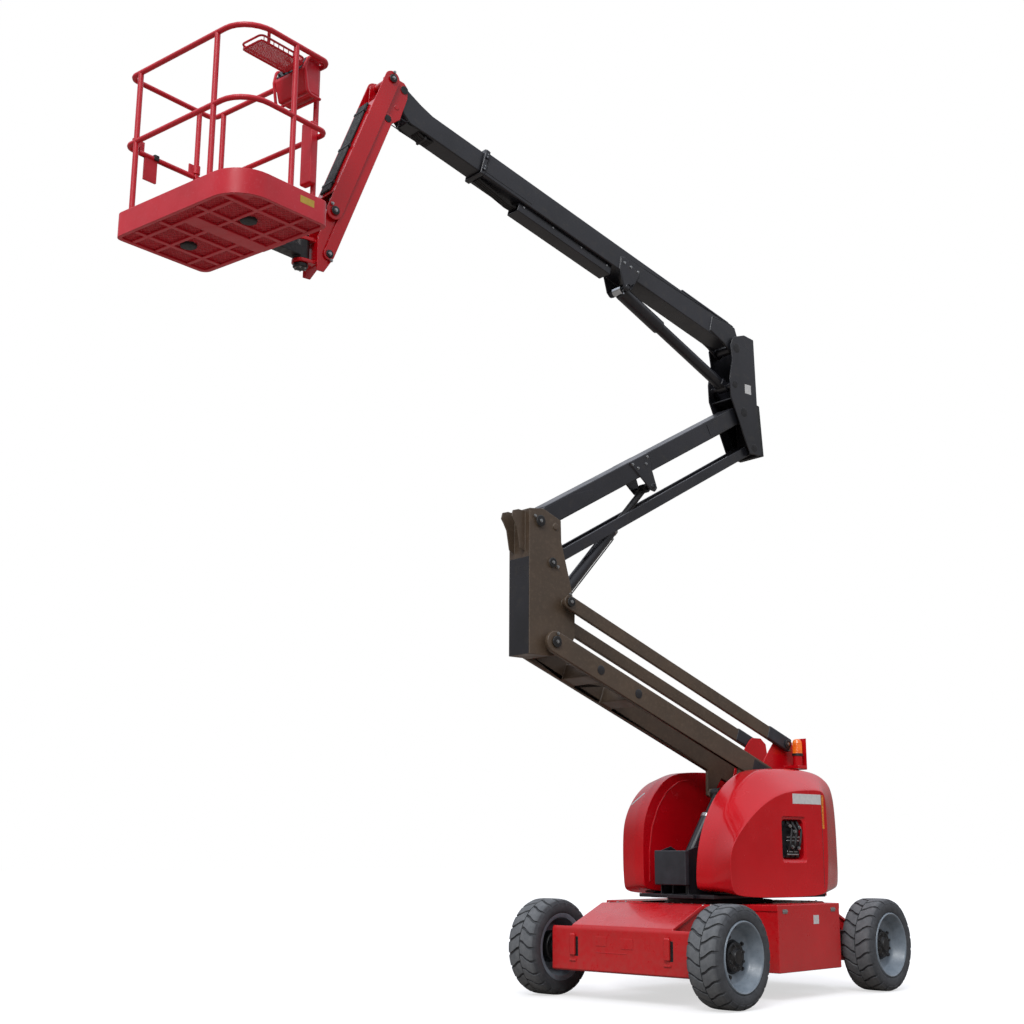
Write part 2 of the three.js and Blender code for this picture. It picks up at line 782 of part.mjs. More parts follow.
function lowerArm() {
  const pinRoom = armPin + pinGap;
  const beam = roundEnded(lowerArmLength, lowerArmDepth, armHalfGap, armOuter);
  const half = lowerArmDepth / 2;
  const beams = beam.add(beam.mirror([0, 1, 0]));
  const ties = [];
  for (const [x0, x1] of [
    [1560, 1680],
    [1960, 2080],
  ]) {
    ties.push(box(x0, x1, -armHalfGap - 4, armHalfGap + 4, -half + 8, half - 30));
  }
  const lugOutline = [
    [330, -216],
    [374, -216],
    [404, -240],
    [450, -236],
    [468, -270],
    [450, -306],
    [404, -308],
    [330, -264],
  ];
  const lugs = platePair(lugOutline, 50, 64);
  const hangerOutline = [
    [270, -half + 2],
    [440, -half + 2],
    [374, -264],
    [330, -264],
  ];
  const hangers = platePair(hangerOutline, armHalfGap, armOuter - 6);
  const bridge = box(330, 374, -armHalfGap - 4, armHalfGap + 4, -264, -216);
  const eyePin = pinPair(lowerLiftLug, 18, 42, 74);
  const root = pinPair([0, 0], pinRoom, armHalfGap - 5, armOuter + 5);
  const tip = pinPair([lowerArmLength, 0], pinRoom, armHalfGap - 5, armOuter + 5);
  return cut(join(beams, ...ties, lugs, hangers, bridge, eyePin), root, tip);
}

function lowerLinks() {
  const y0 = armHalfGap;
  const y1 = armOuter - 4;
  const beam = roundEnded(lowerArmLength, lowerLinkDepth, y0, y1);
  const ends = [0, lowerArmLength].map((x) => pinPair([x, 0], linkPin + pinGap, y0 - 5, y1 + 5));
  return cut(beam.add(beam.mirror([0, 1, 0])), ...ends);
}

const lowerFrame = frameAt(turret, lowerPivot, lowerArmAngle);
add(lowerFrame, "lower_arm", lowerArm(), "black");
const lowerLinkFrame = frameAt(turret, lowerLinkPivot, lowerArmAngle);
const [rightLink, leftLink] = splitSides(lowerLinks());
add(lowerLinkFrame, "lower_link_left", leftLink, "black");
add(lowerLinkFrame, "lower_link_right", rightLink, "black");

// The two halves of a symmetric solid, right (-Y) first.
function splitSides(solid) {
  const far = 9000;
  const right = box(-far, far, -far, 0, -far, far);
  return [solid.intersect(right), solid.subtract(right)];
}

// ---------------------------------------------------------------- first knuckle
const upperLiftFoot = minus(lowerLinkTip, lowerTip);

function firstKnuckle() {
  const outline = [
    [190, -84],
    [190, 950],
    [60, 964],
    [-108, 900],
    [-112, 740],
    [-205, 420],
    [-240, 260],
    [-236, 60],
    [-160, -70],
    [0, -92],
  ];
  const inner = knuckleHalfWidth - knucklePlate;
  const sides = platePair(outline, inner, knuckleHalfWidth);
  const face = box(178, 190, -knuckleHalfWidth, knuckleHalfWidth, -84, 950);
  const sole = box(0, 190, -knuckleHalfWidth, knuckleHalfWidth, -92, -80);
  const outer = armOuter + 8;
  const armPins = pinPair([0, 0], armPin, inner, outer);
  const linkPins = pinPair(lowerLinkOffset, linkPin, inner, outer);
  const liftPin = pin(lowerLinkOffset, 22, -inner - 4, inner + 4);
  const crossPins = [];
  for (const [place, radius] of [
    [upperPinOffset, armPin],
    [plus(upperPinOffset, upperLinkOffset), linkPin],
  ]) {
    crossPins.push(pin(place, radius, -knuckleHalfWidth - 12, knuckleHalfWidth + 12));
  }
  const stop = pinPair([-52, 846], 24, inner, knuckleHalfWidth + 10);
  const hook = [
    [186, 935],
    [250, 940],
    [300, 925],
    [312, 880],
    [290, 850],
    [262, 800],
    [236, 660],
    [186, 640],
  ];
  const hooks = platePair(hook, 52, 64);
  return join(sides, face, sole, armPins, linkPins, liftPin, ...crossPins, stop, hooks);
}
const knuckleFrame = frameAt(turret, lowerTip);
add(knuckleFrame, "knuckle_lower", firstKnuckle(), "black");

// ---------------------------------------------------------------- upper arm and its link
const upperLiftEye = [1240, -180];

function upperArm() {
  const half = upperArmDepth / 2;
  const wide = upperArmHalfWidth;
  const wall = 8;
  const tube = box(120, upperArmLength - 70, -wide, wide, -half, half);
  const bore = box(112, upperArmLength - 60, -wide + wall, wide - wall, -half + wall, half - wall);
  const endPlates = (x, length) => {
    const bar = roundEnded(length, upperArmDepth - 12, wide - 22, wide).translate([x, 0, 0]);
    return bar.add(bar.mirror([0, 1, 0]));
  };
  const root = endPlates(0, 300);
  const tip = endPlates(upperArmLength - 220, 220);
  const lug = [
    [1090, half],
    [1330, half],
    [1330, 20],
    [1300, -60],
    [1278, -210],
    [1240, -226],
    [1206, -200],
  ];
  const lugs = platePair(lug, wide, wide + 10);
  const eyePins = pinPair(upperLiftEye, 16, 44, wide + 16);
  const holes = [
    pin([0, 0], armPin + pinGap, -wide - 20, wide + 20),
    pin([upperArmLength, 0], armPin + pinGap, -wide - 20, wide + 20),
  ];
  return cut(join(tube.subtract(bore), root, tip, lugs, eyePins), ...holes);
}

function upperLink() {
  const half = upperLinkDepth / 2;
  const y0 = upperArmHalfWidth - 28;
  const y1 = upperArmHalfWidth - runGap;
  const side = roundEnded(upperArmLength, upperLinkDepth, y0, y1);
  const sides = side.add(side.mirror([0, 1, 0]));
  const ties = [
    [420, 460],
    [1980, 2200],
  ].map(([x0, x1]) => box(x0, x1, -y0 - 2, y0 + 2, -half, -half + 10));
  const holes = [0, upperArmLength].map((x) => pin([x, 0], linkPin + pinGap, -y1 - 5, y1 + 5));
  return cut(join(sides, ...ties), ...holes);
}

// The upper arm points back, so its local Z is turned down: mirror it upright.
const upperFrame = frameAt(turret, upperPivot, 180 - upperArmAngle);
add(upperFrame, "upper_arm", upperArm().mirror([0, 0, 1]), "black");
const upperLinkFrame = frameAt(turret, upperLinkPivot, 180 - upperArmAngle);
add(upperLinkFrame, "upper_link", upperLink().mirror([0, 0, 1]), "black");

const upperLiftTop = along(upperPivot, 180 - upperArmAngle, upperLiftEye[0], -upperLiftEye[1]);
liftCylinder("upper_lift", plus(lowerTip, upperLiftFoot), upperLiftTop, {
  bore: 44,
  rod: 26,
  foot: 22,
  halfFoot: 40,
  eyeRadius: 36,
  halfEye: 34,
  barrelEnd: 880,
  retract: 340,
});

// ---------------------------------------------------------------- second knuckle
function secondKnuckle() {
  const outline = [
    [-33, 684],
    [-150, 668],
    [-168, 96],
    [-206, -340],
    [-60, -344],
    [154, 115],
    [160, 261],
    [120, 440],
    [140, 560],
    [100, 640],
  ];
  const wall = 12;
  const inner = riserHalfWidth - wall;
  const sides = platePair(outline, inner, riserHalfWidth);
  const back = [
    [-150, 668],
    [-168, 96],
    [-206, -340],
    [-194, -340],
    [-156, 96],
    [-138, 668],
  ];
  const web = plate(back, -inner - 2, inner + 2);
  const shelf = plate(
    [
      [-150, 100],
      [120, 100],
      [120, 112],
      [-150, 112],
    ],
    -inner - 2,
    inner + 2,
  );
  const pins = [
    [[0, 0], armPin],
    [upperLinkOffset, linkPin],
    [boomPinOffset, armPin],
    [boomFootOffset, 26],
  ].map(([place, radius]) => pin(place, radius, -riserHalfWidth, riserHalfWidth));
  return join(sides, web, shelf, ...pins);
}

const riserFrame = frameAt(turret, upperTip);
add(riserFrame, "knuckle_upper", secondKnuckle(), "black");
const guard = plate(
  [
    [-170, 96],
    [-196, 90],
    [-232, -340],
    [-207, -344],
  ],
  -riserHalfWidth,
  riserHalfWidth,
);
add(riserFrame, "knuckle_guard", guard, "dark", { roughness: 0.7 });

// ---------------------------------------------------------------- main boom
const boomFrame = frameAt(turret, boomPivot, boomAngle);
const boomEye = [1245, -105];

function boomOuter() {
  const wide = boomHalfWidth;
  const tube = box(60, boomLength, -wide, wide, 0, boomDepth);
  const bore = box(
    120,
    boomLength + 10,
    -wide + boomWall,
    wide - boomWall,
    boomWall,
    boomDepth - boomWall,
  );
  const collar = box(boomLength - 40, boomLength, -wide - 10, wide + 10, -10, boomDepth + 12);
  const collarBore = box(
    boomLength - 50,
    boomLength + 10,
    -wide + boomWall,
    wide - boomWall,
    boomWall,
    boomDepth - boomWall,
  );
  const rootOutline = [
    [-46, -10],
    [-30, -40],
    [20, -48],
    [120, -10],
    [300, 20],
    [300, 150],
    [120, boomDepth - 4],
    [30, boomDepth - 4],
    [-20, 120],
    [-46, 40],
  ];
  const root = platePair(rootOutline, wide - 14, wide + 8);
  const cap = box(92, 670, -wide + 8, wide - 8, boomDepth - 2, boomDepth + 22);
  const lug = [
    [1150, 60],
    [1330, 130],
    [1372, 110],
    [1360, 0],
    [1290, -120],
    [1245, -140],
    [1208, -118],
    [1180, -40],
  ];
  const lugs = platePair(lug, wide, wide + 12);
  const eyePins = pinPair(boomEye, 22, 60, wide + 16);
  const hole = pin([0, 0], armPin + pinGap, -wide - 20, wide + 20);
  const body = join(tube, collar, root, cap, lugs, eyePins);
  return cut(body, bore, collarBore, hole);
}
add(boomFrame, "boom_outer", boomOuter(), "black");

// The hose channel under the main boom.
const channel = cut(
  box(1420, 2400, -62, 62, -74, -fitGap),
  box(1400, 2420, -54, 54, -66, -8),
);
add(boomFrame, "boom_hose_channel", channel, "black");

function boomFly() {
  const z0 = (boomDepth - flyDepth) / 2;
  const z1 = z0 + flyDepth;
  const wide = flyHalfWidth;
  const wall = 6;
  const tube = box(900, flyReach, -wide, wide, z0, z1);
  const bore = box(890, flyReach - 40, -wide + wall, wide - wall, z0 + wall, z1 - wall);
  const nose = [
    [flyReach - 180, z0],
    [flyReach - 20, z0 - 6],
    [flyReach + 60, z0 + 40],
    [headPinReach - 10, headPinRise - 44],
    [headPinReach + 36, headPinRise - 22],
    [headPinReach + 38, headPinRise + 24],
    [headPinReach - 10, headPinRise + 42],
    [flyReach - 60, z1 + 22],
    [flyReach - 180, z1],
  ];
  const noses = platePair(nose, wide - 14, wide);
  const hole = pin([headPinReach, headPinRise], jibPin + pinGap, -wide - 10, wide + 10);
  const padY = boomHalfWidth - boomWall - glandGap;
  const padZ = boomWall + glandGap;
  const pads = box(910, 1000, -padY, padY, padZ, boomDepth - padZ);
  return cut(join(tube, noses, pads), bore, hole);
}
add(boomFrame, "boom_fly", boomFly(), "black");

const boomEyePlace = along(boomPivot, boomAngle, boomEye[0], boomEye[1]);
liftCylinder("boom_lift", boomFoot, boomEyePlace, {
  bore: 46,
  rod: 27,
  foot: 26,
  halfFoot: 50,
  eyeRadius: 40,
  halfEye: 46,
  barrelEnd: 900,
  retract: 80,
  sleeve: (length) => {
    const shell = bar(length - 480, length - 20, 58);
    return shell.subtract(bar(length - 490, length - 45, 52));
  },
});

// ---------------------------------------------------------------- jib
const headFrame = frameAt(turret, headPivot);
const linkDrop = plus(jibPinOffset, jibLinkOffset);

const headPlate = 10;
const headInner = flyHalfWidth + sideGap;
const linkInner = headInner + headPlate + sideGap;
const linkOuter = jibHalfWidth - jibPlate - sideGap;

function jibHead() {
  const outline = [
    [-34, 20],
    [0, 56],
    [130, 80],
    [176, 40],
    [182, -20],
    [196, -250],
    [176, -318],
    [130, -322],
    [30, -240],
    [-30, -60],
  ];
  const y0 = headInner;
  const y1 = y0 + headPlate;
  const sides = platePair(outline, y0, y1);
  const pins = [
    pin([0, 0], jibPin, -y1 - 4, y1 + 4),
    pin(jibPinOffset, jibPin, -jibHalfWidth - 8, jibHalfWidth + 8),
    pin(linkDrop, jibLinkPin, -linkOuter - 2, linkOuter + 2),
    pinPair([61, -156], 18, y0, y1 + 4),
  ];
  return join(sides, ...pins);
}
add(headFrame, "jib_head", jibHead(), "red");

function jibArm() {
  const y0 = jibHalfWidth - jibPlate;
  const depth = 122;
  const side = roundEnded(jibLength, depth, y0, jibHalfWidth);
  const sides = side.add(side.mirror([0, 1, 0]));
  const ties = box(240, 1080, -y0 - 2, y0 + 2, depth / 2 - 10, depth / 2);
  const holes = [0, jibLength].map((x) => pin([x, 0], jibPin + pinGap, -200, 200));
  return cut(join(sides, ties), ...holes);
}

function jibLink() {
  const side = roundEnded(jibLength, 84, linkInner, linkOuter);
  const sides = side.add(side.mirror([0, 1, 0]));
  const ties = box(260, 1060, -linkInner - 2, linkInner + 2, -42, -34);
  const holes = [0, jibLength].map((x) => pin([x, 0], jibLinkPin + pinGap, -200, 200));
  return cut(join(sides, ties), ...holes);
}
const jibFrame = frameAt(turret, jibPivot, jibAngle);
add(jibFrame, "jib_arm", jibArm(), "red");
const jibLinkFrame = frameAt(turret, jibLinkPivot, jibAngle);
add(jibLinkFrame, "jib_link", jibLink(), "red");

liftCylinder("jib_lift", jibLinkPivot, jibTip, {
  bore: 34,
  rod: 20,
  foot: 26,
  halfFoot: 34,
  eyeRadius: 34,
  halfEye: 30,
  barrelEnd: 790,
  retract: 8,
});

// ---------------------------------------------------------------- basket carrier
const tipFrame = frameAt(turret, jibTip);
const swivelTop = swivelOffset[1] + 120;
const swivelBottom = swivelOffset[1] - 60;

function jibTail() {
  const outline = [
    [-34, 30],
    [0, 44],
    [40, 30],
    [70, -120],
    [106, -200],
    [106, -440],
    [50, -440],
    [-10, -345],
    [-20, -300],
  ];
  const y0 = headInner;
  const y1 = y0 + headPlate;
  const sides = platePair(outline, y0, y1);
  const pins = [
    pinPair([0, 0], jibPin, 44, jibHalfWidth + 8),
    pin(jibLinkOffset, jibLinkPin, -linkOuter - 2, linkOuter + 2),
  ];
  const web = box(92, 106, -y0 - 2, y0 + 2, swivelBottom + 10, swivelTop - 10);
  const arms = [];
  for (const z of [swivelTop - 24, swivelBottom]) {
    arms.push(box(96, swivelOffset[0], -60, 60, z, z + 24));
    arms.push(post([swivelOffset[0], 0], 60, z, z + 24, 28));
  }
  return join(sides, ...pins, web, ...arms);
}
add(tipFrame, "basket_mount", jibTail(), "red");

// ---------------------------------------------------------------- basket
const basketFrame = new THREE.Group();
basketFrame.position.set(swivel[0], 0, 0);
basketFrame.rotation.z = radians(basketTurn);
turret.add(basketFrame);

const swivelZ = jibTip[1] + swivelOffset[1];
const floorBottom = swivelZ - floorDrop;
const basketX = basketSetback + basketDepth / 2; // basket middle, forward of the swivel
const cornerRadii = [230, 60, 60, 60];

function swivelCore() {
  const top = jibTip[1] + swivelTop - 24 - glandGap;
  const bottom = jibTip[1] + swivelBottom + 24 + glandGap;
  const core = post([0, 0], 56, bottom, top, 28);
  const reach = basketSetback - 12 - fitGap;
  const neck = box(0, reach, -45, 45, swivelZ - 20, swivelZ + 50);
  return core.add(neck);
}
add(basketFrame, "basket_swivel", swivelCore(), "dark", { roughness: 0.6 });

function atBasket(solid) {
  return solid.translate([basketX, basketShift, 0]);
}

const basketWall = 8;
const floorTop = floorBottom + 26;

function basketFloor() {
  const halfX = basketDepth / 2;
  const halfY = basketLength / 2;
  const wall = basketWall;
  const inside = cornerRadii.map((r) => r - wall);
  const skirt = slab(rimOutline(halfX, halfY, cornerRadii), floorBottom, floorBottom + toeBoard);
  const well = slab(
    rimOutline(halfX - wall, halfY - wall, inside),
    floorTop,
    floorBottom + toeBoard + 5,
  );
  const under = slab(
    rimOutline(halfX - 30, halfY - 30, inside.map((r) => r - 22)),
    floorBottom - 5,
    floorBottom + 20,
  );
  const spine = box(-halfX, halfX - 120, -60, 60, floorBottom + 2, floorBottom + 22);
  const y = -basketShift;
  const carrier = box(-halfX - 12, -halfX + 40, y - 110, y + 110, floorBottom + 4, floorBottom + 120);
  const shell = cut(skirt, well, under);
  return atBasket(join(shell, spine, carrier));
}
add(basketFrame, "basket_floor", basketFloor(), "red");

// A level round tube through points [x, y], mitred at each; closed, or capped at its ends.
function levelTube(points, z, radius, closed, sides = 8) {
  const count = points.length;
  const vertices = [];
  for (let i = 0; i < count; i++) {
    const here = points[i];
    const before = points[closed ? (i + count - 1) % count : Math.max(i - 1, 0)];
    const after = points[closed ? (i + 1) % count : Math.min(i + 1, count - 1)];
    const first = here.clone().sub(before).normalize();
    const second = after.clone().sub(here).normalize();
    const way = first.clone().add(second).normalize();
    const lean = Math.max(0.6, way.dot(first.lengthSq() ? first : second));
    for (let k = 0; k < sides; k++) {
      const turn = ((k + 0.5) / sides) * 2 * Math.PI;
      const out = (radius * Math.cos(turn)) / lean;
      vertices.push(here.x + way.y * out, here.y - way.x * out, z + radius * Math.sin(turn));
    }
  }
  const faces = [];
  const rings = closed ? count : count - 1;
  for (let i = 0; i < rings; i++) {
    const next = (i + 1) % count;
    for (let k = 0; k < sides; k++) {
      const a = i * sides + k;
      const b = i * sides + ((k + 1) % sides);
      const c = next * sides + k;
      const d = next * sides + ((k + 1) % sides);
      faces.push(a, b, c, b, d, c);
    }
  }
  for (let k = 1; !closed && k + 1 < sides; k++) {
    const end = (count - 1) * sides;
    faces.push(0, k + 1, k, end, end + k, end + k + 1);
  }
  const geometry = new THREE.BufferGeometry();
  geometry.setAttribute("position", new THREE.Float32BufferAttribute(vertices, 3));
  geometry.setIndex(faces);
  const solid = solidOf(geometry);
  if (solid.volume() > 0) return solid;
  for (let i = 0; i < faces.length; i += 3) {
    [faces[i], faces[i + 1]] = [faces[i + 1], faces[i]];
  }
  geometry.setIndex(faces);
  return solidOf(geometry);
}

// A rounded rectangle's corners and arcs as points, without repeats.
function outlineOf(halfX, halfY, radii, divisions = 4) {
  const points = rimOutline(halfX, halfY, radii).getPoints(divisions);
  return points.filter((p, i) => p.distanceTo(points[(i + 1) % points.length]) > 0.5);
}

const railX = basketDepth / 2 - basketWall - fitGap - railRadius;
const railY = basketLength / 2 - basketWall - fitGap - railRadius;
const railRadii = [205, 60, 60, 60];
const topRail = floorBottom + basketHeight - railRadius;
const midRail = floorBottom + 640;
const railCrown = topRail + railRadius * Math.cos(Math.PI / 8); // the rails are eight-sided
const gatePosts = [railX - 76, -railX + 120];

function basketRails() {
  const outline = outlineOf(railX, railY, railRadii);
  const top = levelTube(outline, topRail, railRadius, true);
  const gateSide = (p) => p.y < -railY + 1 && p.x < gatePosts[0] && p.x > gatePosts[1];
  const first = outline.findIndex((p) => p.y < -railY + 1);
  const turned = [...outline.slice(first + 1), ...outline.slice(0, first + 1)];
  const around = turned.filter((p) => !gateSide(p));
  const starts = new THREE.Vector2(gatePosts[0], -railY);
  const stops = new THREE.Vector2(gatePosts[1], -railY);
  const middle = levelTube([starts, ...around, stops], midRail, railRadius, false);
  const places = [
    [railX, railY - cornerRadii[0] - 44],
    [railX, -railY + 110],
    [gatePosts[0], -railY],
    [gatePosts[1], -railY],
    [-railX, -railY + 110],
    [-railX, railY - 110],
    [-60, railY],
  ];
  const posts = places.map((place) => post(place, railRadius, floorTop + fitGap, topRail, 10));
  return atBasket(join(top, middle, ...posts));
}
add(basketFrame, "basket_rails", basketRails(), "red");

// The gate bar slides up its two posts on a collar at each.
function basketGate() {
  const y = -railY;
  const [x1, x0] = gatePosts;
  const inner = railRadius + sideGap;
  const rail = bar(x0 + inner, x1 - inner, railRadius, midRail, y, 12);
  const panel = box(x1 - 170, x1 - 70, y - 8, y + 8, midRail - 170, midRail);
  const z0 = midRail + railRadius + sideGap;
  const z1 = z0 + 60;
  const collars = gatePosts.map((x) => post([x, y], railRadius + 9, z0, z1, 16));
  const holes = gatePosts.map((x) => post([x, y], railRadius + 0.8, z0 - 5, z1 + 5, 16));
  const webs = [
    box(x0 + inner, x0 + inner + 40, y - 6, y + 6, midRail, z1),
    box(x1 - inner - 40, x1 - inner, y - 6, y + 6, midRail, z1),
  ];
  return atBasket(cut(join(rail, panel, ...collars, ...webs), ...holes));
}
add(basketFrame, "basket_gate", basketGate(), "red");

// The control box hangs inside the rear rail, at its +Y end, so that it swings with the
// basket well clear of the jib.
const consoleBack = -railX + railRadius + consoleGap;

function controlConsole() {
  const x = consoleBack;
  const y1 = railY - consoleInset;
  const y0 = y1 - consoleWidth;
  const outline = [
    [x, topRail - 230],
    [x + 110, topRail - 230],
    [x + consoleDepth, topRail - 90],
    [x + 100, topRail + 26],
    [x, topRail + 26],
  ];
  const body = plate(outline, y0, y1);
  const bottom = railCrown + fitGap;
  const hook = box(-railX - railRadius, x + 20, y0 + 40, y1 - 40, bottom, bottom + 8);
  return atBasket(body.add(hook));
}
add(basketFrame, "control_console", controlConsole(), "red");

function toolTray() {
  const z = topRail - 74;
  const x0 = consoleBack + consoleDepth + trayGap;
  const x1 = railX - cornerRadii[0] + trayReach;
  const y1 = railY - railRadius - 14;
  const y0 = y1 - 190;
  const pan = cut(
    box(x0, x1, y0, y1, z, z + 46),
    box(x0 + 5, x1 - 5, y0 + 5, y1 - 5, z + 5, z + 60),
  );
  const bottom = railCrown + fitGap;
  const hooks = [x0 + 60, x1 - 60].map((x) => {
    const riser = box(x - 12, x + 12, y1 - 5, y1 + 1, z + 10, bottom + 6);
    return riser.add(box(x - 12, x + 12, y1 - 5, railY, bottom, bottom + 6));
  });
  return atBasket(join(pan, ...hooks));
}
add(basketFrame, "tool_tray", toolTray(), "red");

export default machine;
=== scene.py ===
# Looks of an articulating boom lift: enamelled hoods, powder-coated arms, lugged tyres,
# a basket of bent tube and the small fittings that the solids leave out.
import json
from math import cos, pi, radians, sin

import bmesh
import bpy
from mathutils import Matrix, Vector

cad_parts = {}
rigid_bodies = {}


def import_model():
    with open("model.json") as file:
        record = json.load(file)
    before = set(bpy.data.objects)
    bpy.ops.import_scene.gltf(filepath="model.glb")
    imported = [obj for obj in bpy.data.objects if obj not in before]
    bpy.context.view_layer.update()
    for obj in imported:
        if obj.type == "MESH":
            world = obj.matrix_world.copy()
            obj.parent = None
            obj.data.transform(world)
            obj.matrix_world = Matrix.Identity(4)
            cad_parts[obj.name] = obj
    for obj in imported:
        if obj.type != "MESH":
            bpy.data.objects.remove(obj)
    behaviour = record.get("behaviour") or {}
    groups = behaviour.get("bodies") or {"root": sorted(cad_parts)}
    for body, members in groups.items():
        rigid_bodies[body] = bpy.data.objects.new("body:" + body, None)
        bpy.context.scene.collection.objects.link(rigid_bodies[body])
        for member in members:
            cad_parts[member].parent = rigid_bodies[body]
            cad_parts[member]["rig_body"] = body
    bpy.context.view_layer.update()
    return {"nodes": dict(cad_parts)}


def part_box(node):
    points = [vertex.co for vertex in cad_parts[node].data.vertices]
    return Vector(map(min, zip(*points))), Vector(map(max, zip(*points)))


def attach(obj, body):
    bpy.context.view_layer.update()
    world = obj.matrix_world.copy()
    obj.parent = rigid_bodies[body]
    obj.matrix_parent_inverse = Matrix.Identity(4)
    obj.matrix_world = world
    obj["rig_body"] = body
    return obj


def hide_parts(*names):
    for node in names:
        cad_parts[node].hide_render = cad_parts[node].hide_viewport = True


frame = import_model()
scene = bpy.context.scene

# ------------------------------------------------------------------ places, in metres
SLEW = radians(-8)
LOWER_ANGLE, UPPER_ANGLE, BOOM_ANGLE, JIB_ANGLE = 20.95, 29.5, 15.2, -69
LOWER_LENGTH, UPPER_LENGTH, BOOM_LENGTH = 2.476, 2.556, 2.814
JIB_LENGTH = 1.217
LOWER_PIVOT = Vector((-0.554, 1.562))
LOWER_LINK_OFFSET = Vector((-0.136, 0.298))
UPPER_PIN_OFFSET = Vector((0.096, 0.866))
UPPER_LINK_OFFSET = Vector((-0.115, -0.288))
BOOM_PIN_OFFSET = Vector((0.066, 0.548))
BOOM_FOOT_OFFSET = Vector((0.100, 0.222))
JIB_PIN_OFFSET = Vector((0.119, 0.035))
JIB_LINK_OFFSET = Vector((0.022, -0.310))
SWIVEL_OFFSET = Vector((0.178, -0.330))
HEAD_REACH = Vector((3.587, 0.208))
AXLE_X = 1.003
TYRE_RADIUS, TYRE_WIDTH, RIM_RADIUS = 0.340, 0.258, 0.237
TRACK_OUTER = 0.918
UP = Vector((0, 0, 1))


def along(point, degrees, distance, rise=0.0):
    turn = Matrix.Rotation(radians(degrees), 2)
    return point + turn @ Vector((distance, rise))


LOWER_TIP = along(LOWER_PIVOT, LOWER_ANGLE, LOWER_LENGTH)
UPPER_PIVOT = LOWER_TIP + UPPER_PIN_OFFSET
UPPER_TIP = along(UPPER_PIVOT, 180 - UPPER_ANGLE, UPPER_LENGTH)
BOOM_PIVOT = UPPER_TIP + BOOM_PIN_OFFSET
BOOM_FOOT = UPPER_TIP + BOOM_FOOT_OFFSET
HEAD_PIVOT = along(BOOM_PIVOT, BOOM_ANGLE, *HEAD_REACH)
JIB_PIVOT = HEAD_PIVOT + JIB_PIN_OFFSET
JIB_LINK_PIVOT = JIB_PIVOT + JIB_LINK_OFFSET
JIB_TIP = along(JIB_PIVOT, JIB_ANGLE, JIB_LENGTH)
SWIVEL = JIB_TIP + SWIVEL_OFFSET

TURRET = Matrix.Rotation(SLEW, 4, "Z")


def boom_plane(point, degrees=0.0):
    """The place of a part that hangs at a pin, with its X turned up from forward."""
    shift = Matrix.Translation((point.x, 0, point.y))
    return TURRET @ shift @ Matrix.Rotation(-radians(degrees), 4, "Y")


BASKET_X = 0.235 + 0.370
BASKET_SHIFT = -0.084
BASKET_TURN = radians(11.3)
BASKET = (
    TURRET
    @ Matrix.Translation((SWIVEL.x, 0, 0))
    @ Matrix.Rotation(BASKET_TURN, 4, "Z")
    @ Matrix.Translation((BASKET_X, BASKET_SHIFT, 0))
)
FLOOR_BOTTOM = SWIVEL.y - 0.030
HALF_DEPTH, HALF_WIDTH = 0.370, 0.600

# ------------------------------------------------------------------ camera, stage, lights
LENS = 1439.8 / 1024 * 36
YAW, PITCH, ROLL = radians(132.403), radians(13.322), radians(0.295)
ahead = Vector((-sin(YAW) * cos(PITCH), cos(YAW) * cos(PITCH), sin(PITCH)))
level_right = ahead.cross(UP).normalized()
level_up = level_right.cross(ahead)
right = level_right * cos(ROLL) + level_up * sin(ROLL)
top = level_up * cos(ROLL) - level_right * sin(ROLL)
camera_data = bpy.data.cameras.new("camera")
camera_data.lens, camera_data.sensor_width = LENS, 36
camera_data.clip_end = 200
camera = bpy.data.objects.new("camera", camera_data)
scene.collection.objects.link(camera)
camera.matrix_world = Matrix.Translation((9.385, 6.465, 1.0055)) @ Matrix(
    (right, top, -ahead)
).transposed().to_4x4()
scene.camera = camera
scene.view_settings.view_transform = "Standard"


def linear(code):
    """A colour's sRGB hex code as linear red, green, blue and alpha."""
    parts = [int(code[i : i + 2], 16) / 255 for i in (1, 3, 5)]
    return tuple(
        p / 12.92 if p <= 0.04045 else ((p + 0.055) / 1.055) ** 2.4 for p in parts
    ) + (1.0,)


def add(tree, kind, sockets=None, **settings):
    """A new node with its settings, and each socket's value or link."""
    node = tree.nodes.new("ShaderNode" + kind)
    for name, value in settings.items():
        setattr(node, name, value)
    for socket, value in (sockets or {}).items():
        if isinstance(value, bpy.types.NodeSocket):
            tree.links.new(value, node.inputs[socket])
        else:
            node.inputs[socket].default_value = value
    return node


def per(millimetres):
    """A texture's scale for features of that size."""
    return 1000 / millimetres


def studio():
    world = bpy.data.worlds.new("studio")
    world.use_nodes = True
    tree = world.node_tree
    light = tree.nodes["Background"]
    direction = add(tree, "TexCoord").outputs["Generated"]
    height = add(tree, "SeparateXYZ", {"Vector": direction}).outputs["Z"]
    ramp = add(tree, "ValToRGB", {"Fac": height})
    stops = ramp.color_ramp.elements
    stops[0].position, stops[0].color = 0.02, linear("#6d6762")
    stops[1].position, stops[1].color = 0.70, linear("#eef3ff")
    middle = stops.new(0.24)
    middle.color = linear("#a9a9ac")
    tree.links.new(ramp.outputs["Color"], light.inputs["Color"])
    light.inputs["Strength"].default_value = 1.15
    white = add(tree, "Background", {"Color": (1, 1, 1, 1), "Strength": 1.0})
    seen = add(tree, "LightPath").outputs["Is Camera Ray"]
    both = add(tree, "MixShader", {0: seen, 1: light.outputs[0], 2: white.outputs[0]})
    tree.links.new(both.outputs[0], tree.nodes["World Output"].inputs["Surface"])
    scene.world = world
    lamp = bpy.data.lights.new("soft_key", "SUN")
    lamp.energy, lamp.angle = 1.7, radians(25)
    key = bpy.data.objects.new("soft_key", lamp)
    key.rotation_euler = (radians(48), 0, radians(118))
    scene.collection.objects.link(key)


